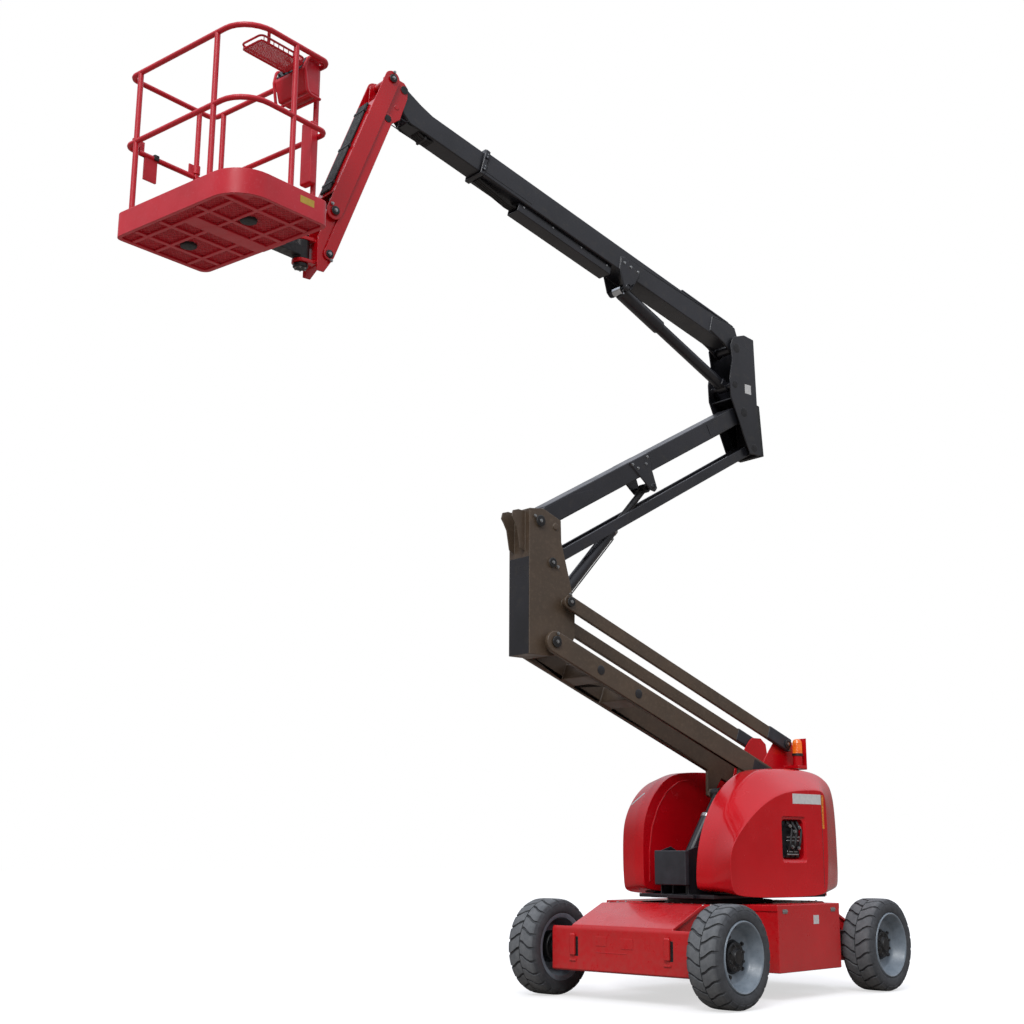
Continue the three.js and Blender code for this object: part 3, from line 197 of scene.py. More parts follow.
def stage_floor():
    bm = bmesh.new()
    bmesh.ops.create_grid(bm, x_segments=4, y_segments=4, size=60)
    mesh = bpy.data.meshes.new("studio_floor")
    bm.to_mesh(mesh)
    floor = bpy.data.objects.new("studio_floor", mesh)
    scene.collection.objects.link(floor)
    material = bpy.data.materials.new("pale_studio_floor")
    material.use_nodes = True
    tree = material.node_tree
    paint = tree.nodes["Principled BSDF"]
    paint.inputs["Base Color"].default_value = linear("#8f8880")
    paint.inputs["Roughness"].default_value = 0.9
    paint.inputs["Specular IOR Level"].default_value = 0.1
    lift = add(tree, "Emission", {"Color": (1, 1, 1, 1), "Strength": 0.62})
    shade = add(tree, "BsdfDiffuse", {"Color": linear("#b0b0b0")})
    pale = add(tree, "AddShader", {0: lift.outputs[0], 1: shade.outputs[0]})
    seen = add(tree, "LightPath").outputs["Is Camera Ray"]
    both = add(tree, "MixShader", {0: seen, 1: paint.outputs[0], 2: pale.outputs[0]})
    tree.links.new(both.outputs[0], tree.nodes["Material Output"].inputs["Surface"])
    mesh.materials.append(material)


studio()
stage_floor()


# ------------------------------------------------------------------ finishes
class Finish:
    """A material being made: its nodes, its shader and the coordinates of the object."""

    def __init__(self, name, **uniform):
        self.material = bpy.data.materials.new(name)
        self.material.use_nodes = True
        self.tree = self.material.node_tree
        self.shader = self.tree.nodes["Principled BSDF"]
        for socket, value in uniform.items():
            self.shader.inputs[socket.replace("_", " ")].default_value = value
        self.place = self.add("TexCoord").outputs["Object"]

    def add(self, kind, sockets=None, **settings):
        return add(self.tree, kind, sockets, **settings)

    def link(self, value, socket):
        self.tree.links.new(value, self.shader.inputs[socket])

    def math(self, operation, *values):
        return self.add("Math", dict(enumerate(values)), operation=operation).outputs[0]

    def times(self, first, second):
        return self.math("MULTIPLY", first, second)

    def spread(self, value, low, high, start=0.3, end=0.7):
        """A value between two limits, stretched to new ones."""
        limits = {"From Min": start, "From Max": end, "To Min": low, "To Max": high}
        return self.add("MapRange", {"Value": value, **limits}).outputs["Result"]

    def grain(self, size, detail=2.0, rough=0.5):
        """Cloudy noise with features of that many millimetres."""
        noise = {"Scale": per(size), "Detail": detail, "Roughness": rough}
        return self.add("TexNoise", {"Vector": self.place, **noise}).outputs["Fac"]

    def cloud(self, *grain):
        return self.spread(self.grain(*grain), 0, 1)

    def cells(self, size):
        return self.add("TexVoronoi", {"Vector": self.place, "Scale": per(size)}).outputs

    def blend(self, share, low, high):
        """A mix of two colours, each a hex code or a link."""
        node = self.add("Mix", {"Factor": share}, data_type="RGBA")
        for socket, colour in (("A_Color", low), ("B_Color", high)):
            target = next(s for s in node.inputs if s.identifier == socket)
            if isinstance(colour, bpy.types.NodeSocket):
                self.tree.links.new(colour, target)
            else:
                target.default_value = linear(colour)
        return next(s for s in node.outputs if s.identifier == "Result_Color")

    def worn_edges(self, radius):
        """1 along edges sharper than the radius, falling to 0 on the flat."""
        rounded_normal = self.add("Bevel", {"Radius": radius}, samples=4).outputs["Normal"]
        flat_normal = self.add("NewGeometry").outputs["Normal"]
        both = {0: rounded_normal, 1: flat_normal}
        match = self.add("VectorMath", both, operation="DOT_PRODUCT").outputs["Value"]
        return self.spread(match, 1.0, 0.0, 0.86, 0.985)

    def colour(self, value):
        self.link(value, "Base Color")

    def sheen(self, low, high, *grain):
        """Roughness between two limits, in patches."""
        self.link(self.spread(self.grain(*grain), low, high), "Roughness")

    def raised(self, height, strength, depth):
        bump = {"Height": height, "Strength": strength, "Distance": depth}
        self.link(self.add("Bump", bump).outputs["Normal"], "Normal")


def two_pack_gloss_red():
    # Two-pack polyurethane enamel sprayed on pressed steel: deep, wet gloss with a faint
    # orange peel, thinner and lighter along edges, and road dust low on the machine.
    made = Finish("two_pack_gloss_red", IOR=1.42, Coat_Weight=0.2, Coat_Roughness=0.06)
    paint = made.blend(made.cloud(420, 3), "#b60512", "#c60a18")
    patch = made.spread(made.grain(60, 4), 0.1, 0.75)
    paint = made.blend(made.times(made.worn_edges(0.006), patch), paint, "#cf4049")
    height = made.add("SeparateXYZ", {"Vector": made.place}).outputs["Z"]
    low = made.spread(height, 0.34, 0.0, 0.15, 0.75)
    dusty = made.times(low, made.spread(made.grain(35, 6, 0.65), 0.2, 1))
    made.colour(made.blend(dusty, paint, "#8c5b50"))
    gloss = made.spread(made.grain(150, 3), 0.16, 0.30)
    made.link(made.math("ADD", gloss, dusty), "Roughness")
    made.raised(made.grain(11, 1), 0.10, 0.0006)
    return made.material


def powder_coat_red():
    # Polyester powder coat on the basket's tube and sheet: an even, slightly pinker red
    # with a satin sheen and a fine pebbled skin, chalky where hands and boots rub.
    made = Finish("powder_coat_red", IOR=1.48)
    paint = made.blend(made.cloud(260, 3), "#c01626", "#cd1d2e")
    scuff = made.spread(made.grain(22, 8, 0.75), 0, 0.55, 0.56, 0.74)
    paint = made.blend(scuff, paint, "#cf5c66")
    made.colour(made.blend(made.times(made.worn_edges(0.004), 0.45), paint, "#d8636c"))
    made.sheen(0.30, 0.46, 80, 4)
    made.raised(made.grain(5, 2), 0.16, 0.0005)
    return made.material


def powder_coat_black():
    # Semi-gloss black powder coat on folded steel arms: it picks up the sky and the ground
    # as soft streaks, with grease bloom, fine dust and rubbed, greyer edges.
    made = Finish("powder_coat_black", IOR=1.5)
    paint = made.blend(made.cloud(500, 4, 0.6), "#17181c", "#24242a")
    stain = made.spread(made.grain(70, 8, 0.7), 0, 0.5, 0.52, 0.75)
    paint = made.blend(stain, paint, "#3a352f")
    patch = made.spread(made.grain(45, 5), 0.05, 0.6)
    made.colour(made.blend(made.times(made.worn_edges(0.005), patch), paint, "#5a5d62"))
    made.sheen(0.26, 0.44, 180, 5)
    made.raised(made.grain(6, 3), 0.18, 0.0006)
    return made.material


def dusty_powder_coat():
    # The same black coat on the lowest arm and its knuckle, which stand in the wheels'
    # dust: a brown bloom over the sheen, heavier in patches and wiped off at the edges.
    made = Finish("dusty_powder_coat", IOR=1.5)
    bloom = made.spread(made.grain(420, 5, 0.6), 0, 1, 0.25, 0.75)
    paint = made.blend(bloom, "#43382d", "#574738")
    fine = made.spread(made.grain(30, 8, 0.75), 0, 0.5, 0.5, 0.75)
    paint = made.blend(fine, paint, "#6d5d4c")
    made.colour(made.blend(made.worn_edges(0.005), paint, "#7d766c"))
    made.sheen(0.34, 0.58, 160, 5)
    made.raised(made.grain(6, 3), 0.2, 0.0006)
    return made.material


def tyre_rubber():
    # Vulcanised tyre rubber, matt: the tread faces greyed by dust, with painted shade darkening
    # the grooves, the lugs' walls and the sidewall below them, and fine moulding rings on the
    # sidewall.
    made = Finish("tyre_rubber", IOR=1.5)
    parts = made.add("SeparateXYZ", {"Vector": made.place}).outputs
    from_axle = made.math("SUBTRACT", made.math("ABSOLUTE", parts["X"]), AXLE_X)
    above = made.math("SUBTRACT", parts["Z"], TYRE_RADIUS)
    flat = made.add("CombineXYZ", {"X": from_axle, "Y": above}).outputs[0]
    radius = made.add("VectorMath", {0: flat}, operation="LENGTH").outputs["Value"]
    cloud = made.cloud(45, 6, 0.65)
    # Painted shade: rubber below the tread faces, in the grooves and down the sidewall, gets
    # the darker colour.
    dark = made.blend(cloud, "#34363a", "#46484b")
    pale = made.blend(cloud, "#55585b", "#6b6d6f")
    made.colour(made.blend(made.spread(radius, 0, 1, 0.322, 0.338), dark, pale))
    made.sheen(0.68, 0.9, 30, 4)
    wave = made.math("SINE", made.times(radius, 2 * pi * per(9)))
    rings = made.times(wave, made.spread(radius, 1, 0, 0.292, 0.302))
    made.raised(made.math("ADD", rings, made.grain(8, 5)), 0.35, 0.0012)
    return made.material


def rim_enamel():
    # Blue-grey stoving enamel on spun steel wheels: satin, with brake dust and worn,
    # paler edges.
    made = Finish("rim_enamel", IOR=1.5)
    paint = made.blend(made.cloud(70, 5, 0.6), "#66717b", "#7d8790")
    spots = made.spread(made.grain(12, 6, 0.7), 0, 0.6, 0.58, 0.72)
    paint = made.blend(spots, paint, "#4a4440")
    made.colour(made.blend(made.worn_edges(0.004), paint, "#a3abb2"))
    made.sheen(0.3, 0.45, 50, 3)
    made.raised(made.grain(9, 2), 0.12, 0.0005)
    return made.material


def oiled_steel():
    # Black-oxide pins, hubs and axle castings under a film of old grease and dust.
    made = Finish("oiled_steel", Metallic=0.35, IOR=1.5)
    grease = made.blend(made.cloud(40, 6, 0.65), "#141518", "#2c2b2a")
    made.colour(made.blend(made.times(made.worn_edges(0.004), 0.6), grease, "#6b6c6d"))
    made.sheen(0.32, 0.6, 25, 4)
    made.raised(made.grain(5, 4), 0.3, 0.0008)
    return made.material


def cloudy(name, colours, cloud, sheen=None, skin=None, **uniform):
    """A finish in clouds of two colours, with its sheen in patches and a grained skin."""
    made = Finish(name, **uniform)
    made.colour(made.blend(made.cloud(*cloud), *colours))
    if sheen:
        made.sheen(*sheen)
    if skin:
        grain, strength, depth = skin
        made.raised(made.grain(*grain), strength, depth)
    return made


def moulded_black_cover():
    # Black moulded polyethylene: a leathery mould grain and a dull, greyed sheen.
    made = cloudy(
        "moulded_black_cover", ("#202227", "#2e3137"), (120, 4), (0.42, 0.6, 60, 4), IOR=1.5
    )
    made.raised(made.cells(7)["Distance"], 0.25, 0.0007)
    return made.material


def hard_chrome():
    # Ground and hard-chromed rod: a bright mirror with an oil film and fine wipe marks.
    sheen = (0.10, 0.24, 18, 4)
    return cloudy("hard_chrome", ("#b9bdc1", "#d3d6d8"), (40, 5), sheen, Metallic=1.0).material


def zinc_plated_steel():
    # Bright zinc-plated bolts and fittings: grey metal with a cloudy passivated bloom.
    made = Finish("zinc_plated_steel", Metallic=1.0)
    bloom = made.cloud(9, 4)
    made.colour(made.blend(bloom, "#8d9093", "#b4b5b2"))
    made.link(made.spread(bloom, 0.28, 0.48, 0, 1), "Roughness")
    return made.material


def painted_casting():
    # Red enamel over sand-cast iron: the casting's coarse skin shows through the gloss.
    sheen, skin = (0.26, 0.4, 90, 3), ((14, 5, 0.6), 0.5, 0.002)
    colours = ("#b30d1a", "#c61220")
    return cloudy("painted_casting", colours, (300, 3), sheen, skin, IOR=1.5).material


def amber_polycarbonate():
    # Moulded amber polycarbonate: a clear, saturated lens, with a faint painted glow from a
    # weak emission all over it.
    made = Finish("amber_polycarbonate", IOR=1.58, Roughness=0.12, Transmission_Weight=0.25)
    amber_and_painted_glow = made.blend(made.cloud(30, 2), "#e2640f", "#f4831c")
    made.colour(amber_and_painted_glow)
    # Painted glow: the amber colour is also emitted faintly, lit or not.
    made.link(amber_and_painted_glow, "Emission Color")
    made.shader.inputs["Emission Strength"].default_value = 0.18
    return made.material


def valve_block():
    # Blackened valve manifold and its pressed-steel casing, with an oily, uneven sheen.
    sheen, skin = (0.3, 0.55, 35, 4), ((10, 4), 0.3, 0.001)
    colours = ("#121316", "#26272a")
    made = cloudy("valve_block", colours, (60, 6, 0.7), sheen, skin, Metallic=0.2, IOR=1.5)
    return made.material


def sheet_rubber():
    # Calendered rubber sheet and hose cover: dull black with a cloth-wrapped grain.
    sheen, skin = (0.5, 0.7, 20, 3), ((4, 3), 0.3, 0.0006)
    return cloudy(
        "sheet_rubber", ("#151516", "#232324"), (35, 5), sheen, skin, IOR=1.5,
    ).material


def label_vinyl(name, low, high):
    # Blank cast-vinyl label: flat colour and a slight, uneven sheen.
    return cloudy(name, (low, high), (25, 6, 0.7), (0.35, 0.5, 30, 3), IOR=1.5).material


def reflective_tape():
    # Orange prismatic tape: a fine honeycomb of cells in two oranges; the pattern is the tape's
    # own, the lighter cells are painted glints.
    made = Finish("reflective_tape", IOR=1.58)
    # Cell tones: the tape's own honeycomb pattern, with the lighter cells as painted glints.
    cell_pattern_and_painted_glint = made.add("SeparateColor", {"Color": made.cells(9)["Color"]}).outputs[0]
    made.colour(made.blend(cell_pattern_and_painted_glint, "#c65a12", "#e08a2c"))
    made.link(made.spread(cell_pattern_and_painted_glint, 0.15, 0.4, 0, 1), "Roughness")
    return made.material


ENAMEL = two_pack_gloss_red()
BASKET_RED = powder_coat_red()
BLACK = powder_coat_black()
DUSTY = dusty_powder_coat()
COVER = moulded_black_cover()
RUBBER = tyre_rubber()
RIM = rim_enamel()
CHROME = hard_chrome()
ZINC = zinc_plated_steel()
STEEL = oiled_steel()
CASTING = painted_casting()
AMBER = amber_polycarbonate()
VALVES = valve_block()
SHEET = sheet_rubber()
WHITE_LABEL = label_vinyl("white_label_vinyl", "#b9b9b8", "#d2d2d0")
YELLOW_LABEL = label_vinyl("yellow_label_vinyl", "#b3922a", "#c9a83a")
TAPE = reflective_tape()

# ------------------------------------------------------------------ shaping helpers
EDGE = 0.003


def rounded(bm, faces_or_verts, radius, segments=2, least=30):
    """Bevels the edges of the new shape that are sharper than an angle."""
    verts = {v for item in faces_or_verts for v in getattr(item, "verts", [item])}
    edges = [
        e
        for e in bm.edges
        if e.verts[0] in verts
        and e.verts[1] in verts
        and len(e.link_faces) == 2
        and e.calc_face_angle(0) > radians(least)
    ]
    bmesh.ops.bevel(
        bm,
        geom=edges,
        offset=radius,
        segments=segments,
        profile=0.5,
        affect="EDGES",
        clamp_overlap=True,
        material=-1,
    )


def block(bm, low, high, radius=0.0, segments=2):
    """A box between two corners, with rounded edges."""
    low, high = Vector(low), Vector(high)
    made = bmesh.ops.create_cube(bm, size=1)["verts"]
    bmesh.ops.scale(bm, verts=made, vec=high - low)
    bmesh.ops.translate(bm, verts=made, vec=(low + high) / 2)
    if radius:
        rounded(bm, made, radius, segments)


def prism(bm, outline, y0, y1, radius=0.0, segments=2):
    """A plate with an [x, z] outline between two levels of y."""
    verts = [bm.verts.new((x, y0, z)) for x, z in outline]
    face = bm.faces.new(verts)
    grown = bmesh.ops.extrude_face_region(bm, geom=[face])["geom"]
    moved = [v for v in grown if isinstance(v, bmesh.types.BMVert)]
    bmesh.ops.translate(bm, verts=moved, vec=(0, y1 - y0, 0))
    bmesh.ops.recalc_face_normals(
        bm, faces=list({f for v in verts + moved for f in v.link_faces}),
    )
    if radius:
        rounded(bm, verts + moved, radius, segments)


def facing(direction):
    """A turn that takes Z to a direction."""
    return Vector(direction).to_track_quat("Z", "Y").to_matrix().to_4x4()


def joined(bm, part, place=None):
    """Adds a finished part to a larger mesh."""
    if place is not None:
        bmesh.ops.transform(part, matrix=place, verts=part.verts)
    mesh = bpy.data.meshes.new("part")
    part.to_mesh(mesh)
    part.free()
    bm.from_mesh(mesh)
    bpy.data.meshes.remove(mesh)


def turned(bm, profile, centre=(0, 0, 0), axis=(0, 1, 0), steps=32):
    """A shape turned on an axis from [radius, distance along the axis] points."""
    part = bmesh.new()
    verts = [part.verts.new((r, 0, h)) for r, h in profile]
    edges = [part.edges.new(pair) for pair in zip(verts, verts[1:])]
    bmesh.ops.spin(
        part,
        geom=verts + edges,
        cent=(0, 0, 0),
        axis=(0, 0, 1),
        angle=2 * pi,
        steps=steps,
        use_merge=True,
    )
    bmesh.ops.remove_doubles(part, verts=part.verts, dist=1e-6)
    bmesh.ops.recalc_face_normals(part, faces=part.faces)
    joined(bm, part, Matrix.Translation(centre) @ facing(axis))


def baked(bm, *modifiers):
    """The mesh after modifiers, each a type and its settings."""
    mesh = bpy.data.meshes.new("cage")
    bm.to_mesh(mesh)
    bm.free()
    holder = bpy.data.objects.new("cage", mesh)
    scene.collection.objects.link(holder)
    for kind, settings in modifiers:
        modifier = holder.modifiers.new(kind, kind)
        for name, value in settings.items():
            setattr(modifier, name, value)
    seen = holder.evaluated_get(bpy.context.evaluated_depsgraph_get())
    result = bpy.data.meshes.new_from_object(seen)
    fresh = bmesh.new()
    fresh.from_mesh(result)
    bpy.data.objects.remove(holder)
    bpy.data.meshes.remove(result)
    return fresh


def carved(bm, cutter):
    """The mesh with another taken out of it."""
    mesh = bpy.data.meshes.new("cutter")
    cutter.to_mesh(mesh)
    cutter.free()
    tool = bpy.data.objects.new("cutter", mesh)
    scene.collection.objects.link(tool)
    cut = {"operation": "DIFFERENCE", "object": tool, "solver": "EXACT"}
    result = baked(bm, ("BOOLEAN", cut))
    bpy.data.objects.remove(tool)
    return result


def rod(bm, start, end, radius, edge=0.002, steps=28):
    """A round bar between two points, with softened ends."""
    start, end = Vector(start), Vector(end)
    length = (end - start).length
    profile = [
        (0, 0), (radius - edge, 0), (radius, edge), (radius, length - edge),
        (radius - edge, length), (0, length),
    ]
    turned(bm, profile, start, end - start, steps)


def bolt(bm, centre, axis, radius, height):
    """A hexagon head on its washer."""
    place = Matrix.Translation(centre) @ facing(axis)
    for sides, r, low, high in (
        (18, radius * 1.35, 0, height * 0.3), (6, radius, height * 0.3, height),
    ):
        bmesh.ops.create_cone(
            bm,
            cap_ends=True,
            segments=sides,
            radius1=r,
            radius2=r * 0.94,
            depth=high - low,
            matrix=place @ Matrix.Translation((0, 0, (low + high) / 2)),
        )


def bent_tube(bm, points, radius, bend=0.0, closed=False, sides=12, sharpness=6):
    """A tube along points, its corners rounded to a bend radius."""
    points = [Vector(p) for p in points]
    count = len(points)
    path = []
    for i, here in enumerate(points):
        if not closed and i in (0, count - 1):
            path.append(here)
            continue
        before, after = points[i - 1], points[(i + 1) % count]
        a, b = (before - here), (after - here)
        turn = a.angle(b)
        if turn > pi - 0.02 or bend == 0:
            path.append(here)
            continue
        slope = max(1e-6, (sin(turn / 2) / cos(turn / 2)))
        reach = min(bend / slope, a.length * 0.49, b.length * 0.49)
        start, end = here + a.normalized() * reach, here + b.normalized() * reach
        for k in range(sharpness + 1):
            t = k / sharpness
            path.append((1 - t) ** 2 * start + 2 * t * (1 - t) * here + t * t * end)
    curve = bpy.data.curves.new("tube", "CURVE")
    curve.dimensions = "3D"
    curve.bevel_depth = radius
    curve.bevel_resolution = max(1, sides // 4 - 1) if sides > 8 else 1
    curve.use_fill_caps = not closed
    spline = curve.splines.new("POLY")
    spline.points.add(len(path) - 1)
    for point, at in zip(spline.points, path):
        point.co = (*at, 1)
    spline.use_cyclic_u = closed
    holder = bpy.data.objects.new("tube", curve)
    mesh = bpy.data.meshes.new_from_object(holder)
    bm.from_mesh(mesh)
    bpy.data.objects.remove(holder)
    bpy.data.curves.remove(curve)
    bpy.data.meshes.remove(mesh)


def piece(name, bm, body, material, place=None, replaces=(), smooth=35, merged=True):
    """Makes a finished object of a mesh, at the origin, riding on its body."""
    if merged:
        bmesh.ops.remove_doubles(bm, verts=bm.verts, dist=1e-6)
        bmesh.ops.recalc_face_normals(bm, faces=bm.faces)
    if place is not None:
        bmesh.ops.transform(bm, matrix=place, verts=bm.verts)
    mesh = bpy.data.meshes.new(name)
    bm.to_mesh(mesh)
    bm.free()
    mesh.shade_smooth()
    mesh.set_sharp_from_angle(angle=radians(smooth))
    mesh.materials.append(material)
    made = bpy.data.objects.new(name, mesh)
    scene.collection.objects.link(made)
    even = made.modifiers.new("even_shading", "WEIGHTED_NORMAL")
    even.keep_sharp = True
    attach(made, body)
    if replaces:
        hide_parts(*replaces)
    return made


def body_of(node):
    return frame["nodes"][node]["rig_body"]


def dressed(node, material, radius=EDGE, segments=2, extra=None):
    """A node's own shape, merged and with its edges rounded, and any more that is added."""
    bm = bmesh.new()
    bm.from_mesh(frame["nodes"][node].data)
    bmesh.ops.remove_doubles(bm, verts=bm.verts, dist=1e-5)
    bmesh.ops.dissolve_limit(
        bm, angle_limit=radians(0.8), verts=bm.verts, edges=bm.edges
    )
    edges = [
        e for e in bm.edges if len(e.link_faces) == 2 and e.calc_face_angle(0) > radians(38)
    ]
    shortest = radius * 0.6
    edges = [e for e in edges if e.calc_length() > shortest]
    bmesh.ops.bevel(
        bm,
        geom=edges,
        offset=radius,
        segments=segments,
        profile=0.5,
        affect="EDGES",
        clamp_overlap=False,
        material=-1,
    )
    if extra:
        extra(bm)
    return piece(
        f"{node}_finish", bm, body_of(node), material, None, (node,), merged=False
    )


# ------------------------------------------------------------------ small fittings
def domed_head(bm, x, z, y, radius, side, proud):
    """A pin's end plate, with a chamfer and a shallow dome."""
    turned(
        bm,
        [
            (0, 0), (radius + 0.007, 0), (radius + 0.007, proud * 0.45),
            (radius + 0.003, proud * 0.78), (radius * 0.55, proud * 0.95), (0, proud),
        ],
        (x, side * y, z),
        (0, side, 0),
        28,
    )


PROUD, FLUSH = 0.009, 0.0025


def pin_heads(name, body, place, pins, proud=PROUD):
    """End plates of the pins at [x, z, half width, radius, keeper's turn], and their bolts.

    Where another part passes close by, the plates are flatter and have no bolts."""
    heads, bolts = bmesh.new(), bmesh.new()
    for x, z, y, radius, turn in pins:
        for side in (1, -1):
            domed_head(heads, x, z, y, radius, side, proud)
            if proud < PROUD:
                continue
            lever = Vector((cos(radians(turn)), 0, sin(radians(turn))))
            spot = Vector((x, side * y, z)) + lever * (radius + 0.026)
            bolt(bolts, (x, side * (y + 0.008), z), (0, side, 0), 0.010, 0.007)
            bolt(bolts, spot, (0, side, 0), 0.009, 0.010)
    piece(f"{name}_pin_heads", heads, body, STEEL, place, smooth=25)
    if bolts.verts:
        piece(f"{name}_keeper_bolts", bolts, body, ZINC, place, smooth=25, merged=False)


def stuck_on(name, target, centre, along_u, along_v, size, material, body, lift=0.0008):
    """A label on a piece's surface: a small grid dropped on it along its own normal."""
    u, v = Vector(along_u).normalized(), Vector(along_v).normalized()
    way = v.cross(u)
    bm = bmesh.new()
    bmesh.ops.create_grid(bm, x_segments=14, y_segments=8, size=0.5)
    bpy.context.view_layer.update()
    keep = {}
    for vert in bm.verts:
        at = Vector(centre) + u * (vert.co.x * size[0]) + v * (vert.co.y * size[1])
        hit, point, normal = target.ray_cast(at - way * 0.25, way, distance=0.6)[:3]
        keep[vert] = hit
        vert.co = point + normal * lift if hit else at
    gone = [vert for vert, hit in keep.items() if not hit]
    bmesh.ops.delete(bm, geom=gone, context="VERTS")
    bmesh.ops.recalc_face_normals(bm, faces=bm.faces)
    if bm.faces and sum((f.normal for f in bm.faces), Vector()).dot(way) > 0:
        bmesh.ops.reverse_faces(bm, faces=bm.faces)
    bmesh.ops.solidify(bm, geom=list(bm.faces), thickness=0.0006)
    return piece(name, bm, body, material, merged=False)


# ------------------------------------------------------------------ chassis
END_X = 1.160
CHASSIS_TOP = 0.628
COVER_TOP = CHASSIS_TOP + 0.0262


def end_fittings(place_name, turn):
    """The end plate's pressed pads, its tie-down ears with painted shadow strips beside them,
    the dark vent slots and its bolts.
    """
    place = Matrix.Rotation(turn, 4, "Z")
    bm = bmesh.new()
    face = END_X + 0.0135
    for low, high in (((-0.215, 0.372), (-0.120, 0.436)), ((0.005, 0.360), (0.115, 0.430))):
        block(bm, (face, low[0], low[1]), (face + 0.004, high[0], high[1]), 0.0018)
    block(bm, (face, -0.210, 0.326), (face + 0.003, 0.060, 0.332), 0.0012)
    for y in (-0.423, 0.409):
        block(bm, (face, y - 0.030, 0.262), (face + 0.010, y + 0.030, 0.275), 0.003)
    piece(f"{place_name}_pressings", bm, "chassis", ENAMEL, place)
    ears = bmesh.new()
    for y in (-0.420, 0.412):
        block(
            ears, (face - 0.004, y - 0.024, 0.300), (face + 0.022, y + 0.024, 0.450), 0.011, 4,
        )
    piece(f"{place_name}_ears", ears, "chassis", ENAMEL, place, merged=False)
    # Painted shadow: a thin dark strip beside each ear stands for the shade it casts; the four
    # strips on the cover top are the vent slots.
    dark = bmesh.new()
    for y in (-0.388, 0.444):
        block(dark, (face - 0.003, y - 0.013, 0.296), (face + 0.0012, y + 0.013, 0.430), 0.001)
    for y in (-0.33, -0.11, 0.11, 0.33):
        block(
            dark, (0.775, y - 0.07, COVER_TOP),
            (0.787, y + 0.07, CHASSIS_TOP + 0.0275),
        )
    piece(f"{place_name}_painted_shadows_and_vent_slots", dark, "chassis", STEEL, place)
    bolts = bmesh.new()
    for x in (0.56, 0.66, 0.76):
        for y in (-0.418, 0.418):
            bolt(bolts, (x, y, COVER_TOP), (0, 0, 1), 0.008, 0.007)
    piece(f"{place_name}_cover_bolts", bolts, "chassis", ZINC, place, merged=False)


def side_fittings(side, name):
    bm = bmesh.new()
    for x in (-0.40, 0.26):
        block(
            bm, (x - 0.03, side * 0.770 - 0.003, 0.596),
            (x + 0.03, side * 0.770 + 0.003, 0.626), 0.002,
        )
        rod(
            bm, (x - 0.034, side * 0.7725, 0.611), (x + 0.034, side * 0.7725, 0.611), 0.0045,
            0.001, 12,
        )
    piece(f"{name}_hinges", bm, "chassis", ZINC, merged=False)


def chassis():
    dressed("chassis_frame", ENAMEL, 0.004)
    dressed("front_end_cover", ENAMEL, 0.006, 3)
    dressed("rear_end_cover", ENAMEL, 0.006, 3)
    left = dressed("side_box_left", ENAMEL, 0.006, 3)
    dressed("side_box_right", ENAMEL, 0.006, 3)
    for node in ("drive_axle", "steer_axle", "slew_ring"):
        dressed(node, STEEL, 0.003)
    for node in ("steering_knuckle_left", "steering_knuckle_right"):
        dressed(node, STEEL, 0.003)
    end_fittings("front_end", 0)
    end_fittings("rear_end", pi)
    side_fittings(1, "left_box")
    side_fittings(-1, "right_box")
    stuck_on(
        "side_box_label", left, (-0.16, 0.770, 0.545), (-1, 0, 0), UP, (0.075, 0.062),
        WHITE_LABEL, "chassis",
    )
    ring = bmesh.new()
    for k in range(24):
        turn = 2 * pi * (k + 0.5) / 24
        bolt(
            ring, (0.372 * cos(turn), 0.372 * sin(turn), CHASSIS_TOP + 0.0125), (0, 0, 1),
            0.010, 0.012,
        )
    piece("slew_ring_bolts", ring, "chassis", ZINC, merged=False)
    hoses = bmesh.new()
    for k, drop in enumerate((0.0, 0.022)):
        bow = [
            (0.405 * cos(t) * 1.02, (0.405 + drop) * sin(t), 0.6545 + 0.009 + 0.004 * k)
            for t in (radians(a) for a in range(20, 165, 9))
        ]
        bent_tube(hoses, bow, 0.008, sides=12)
    piece("slew_hoses", hoses, "chassis", SHEET, merged=False)


# ------------------------------------------------------------------ wheels
LUGS = 22
TREAD = [
    (0.004, 0.3395), (0.034, 0.3395), (0.064, 0.339), (0.090, 0.337), (0.112, 0.328),
    (0.1265, 0.305),
]
GROOVE = 0.013


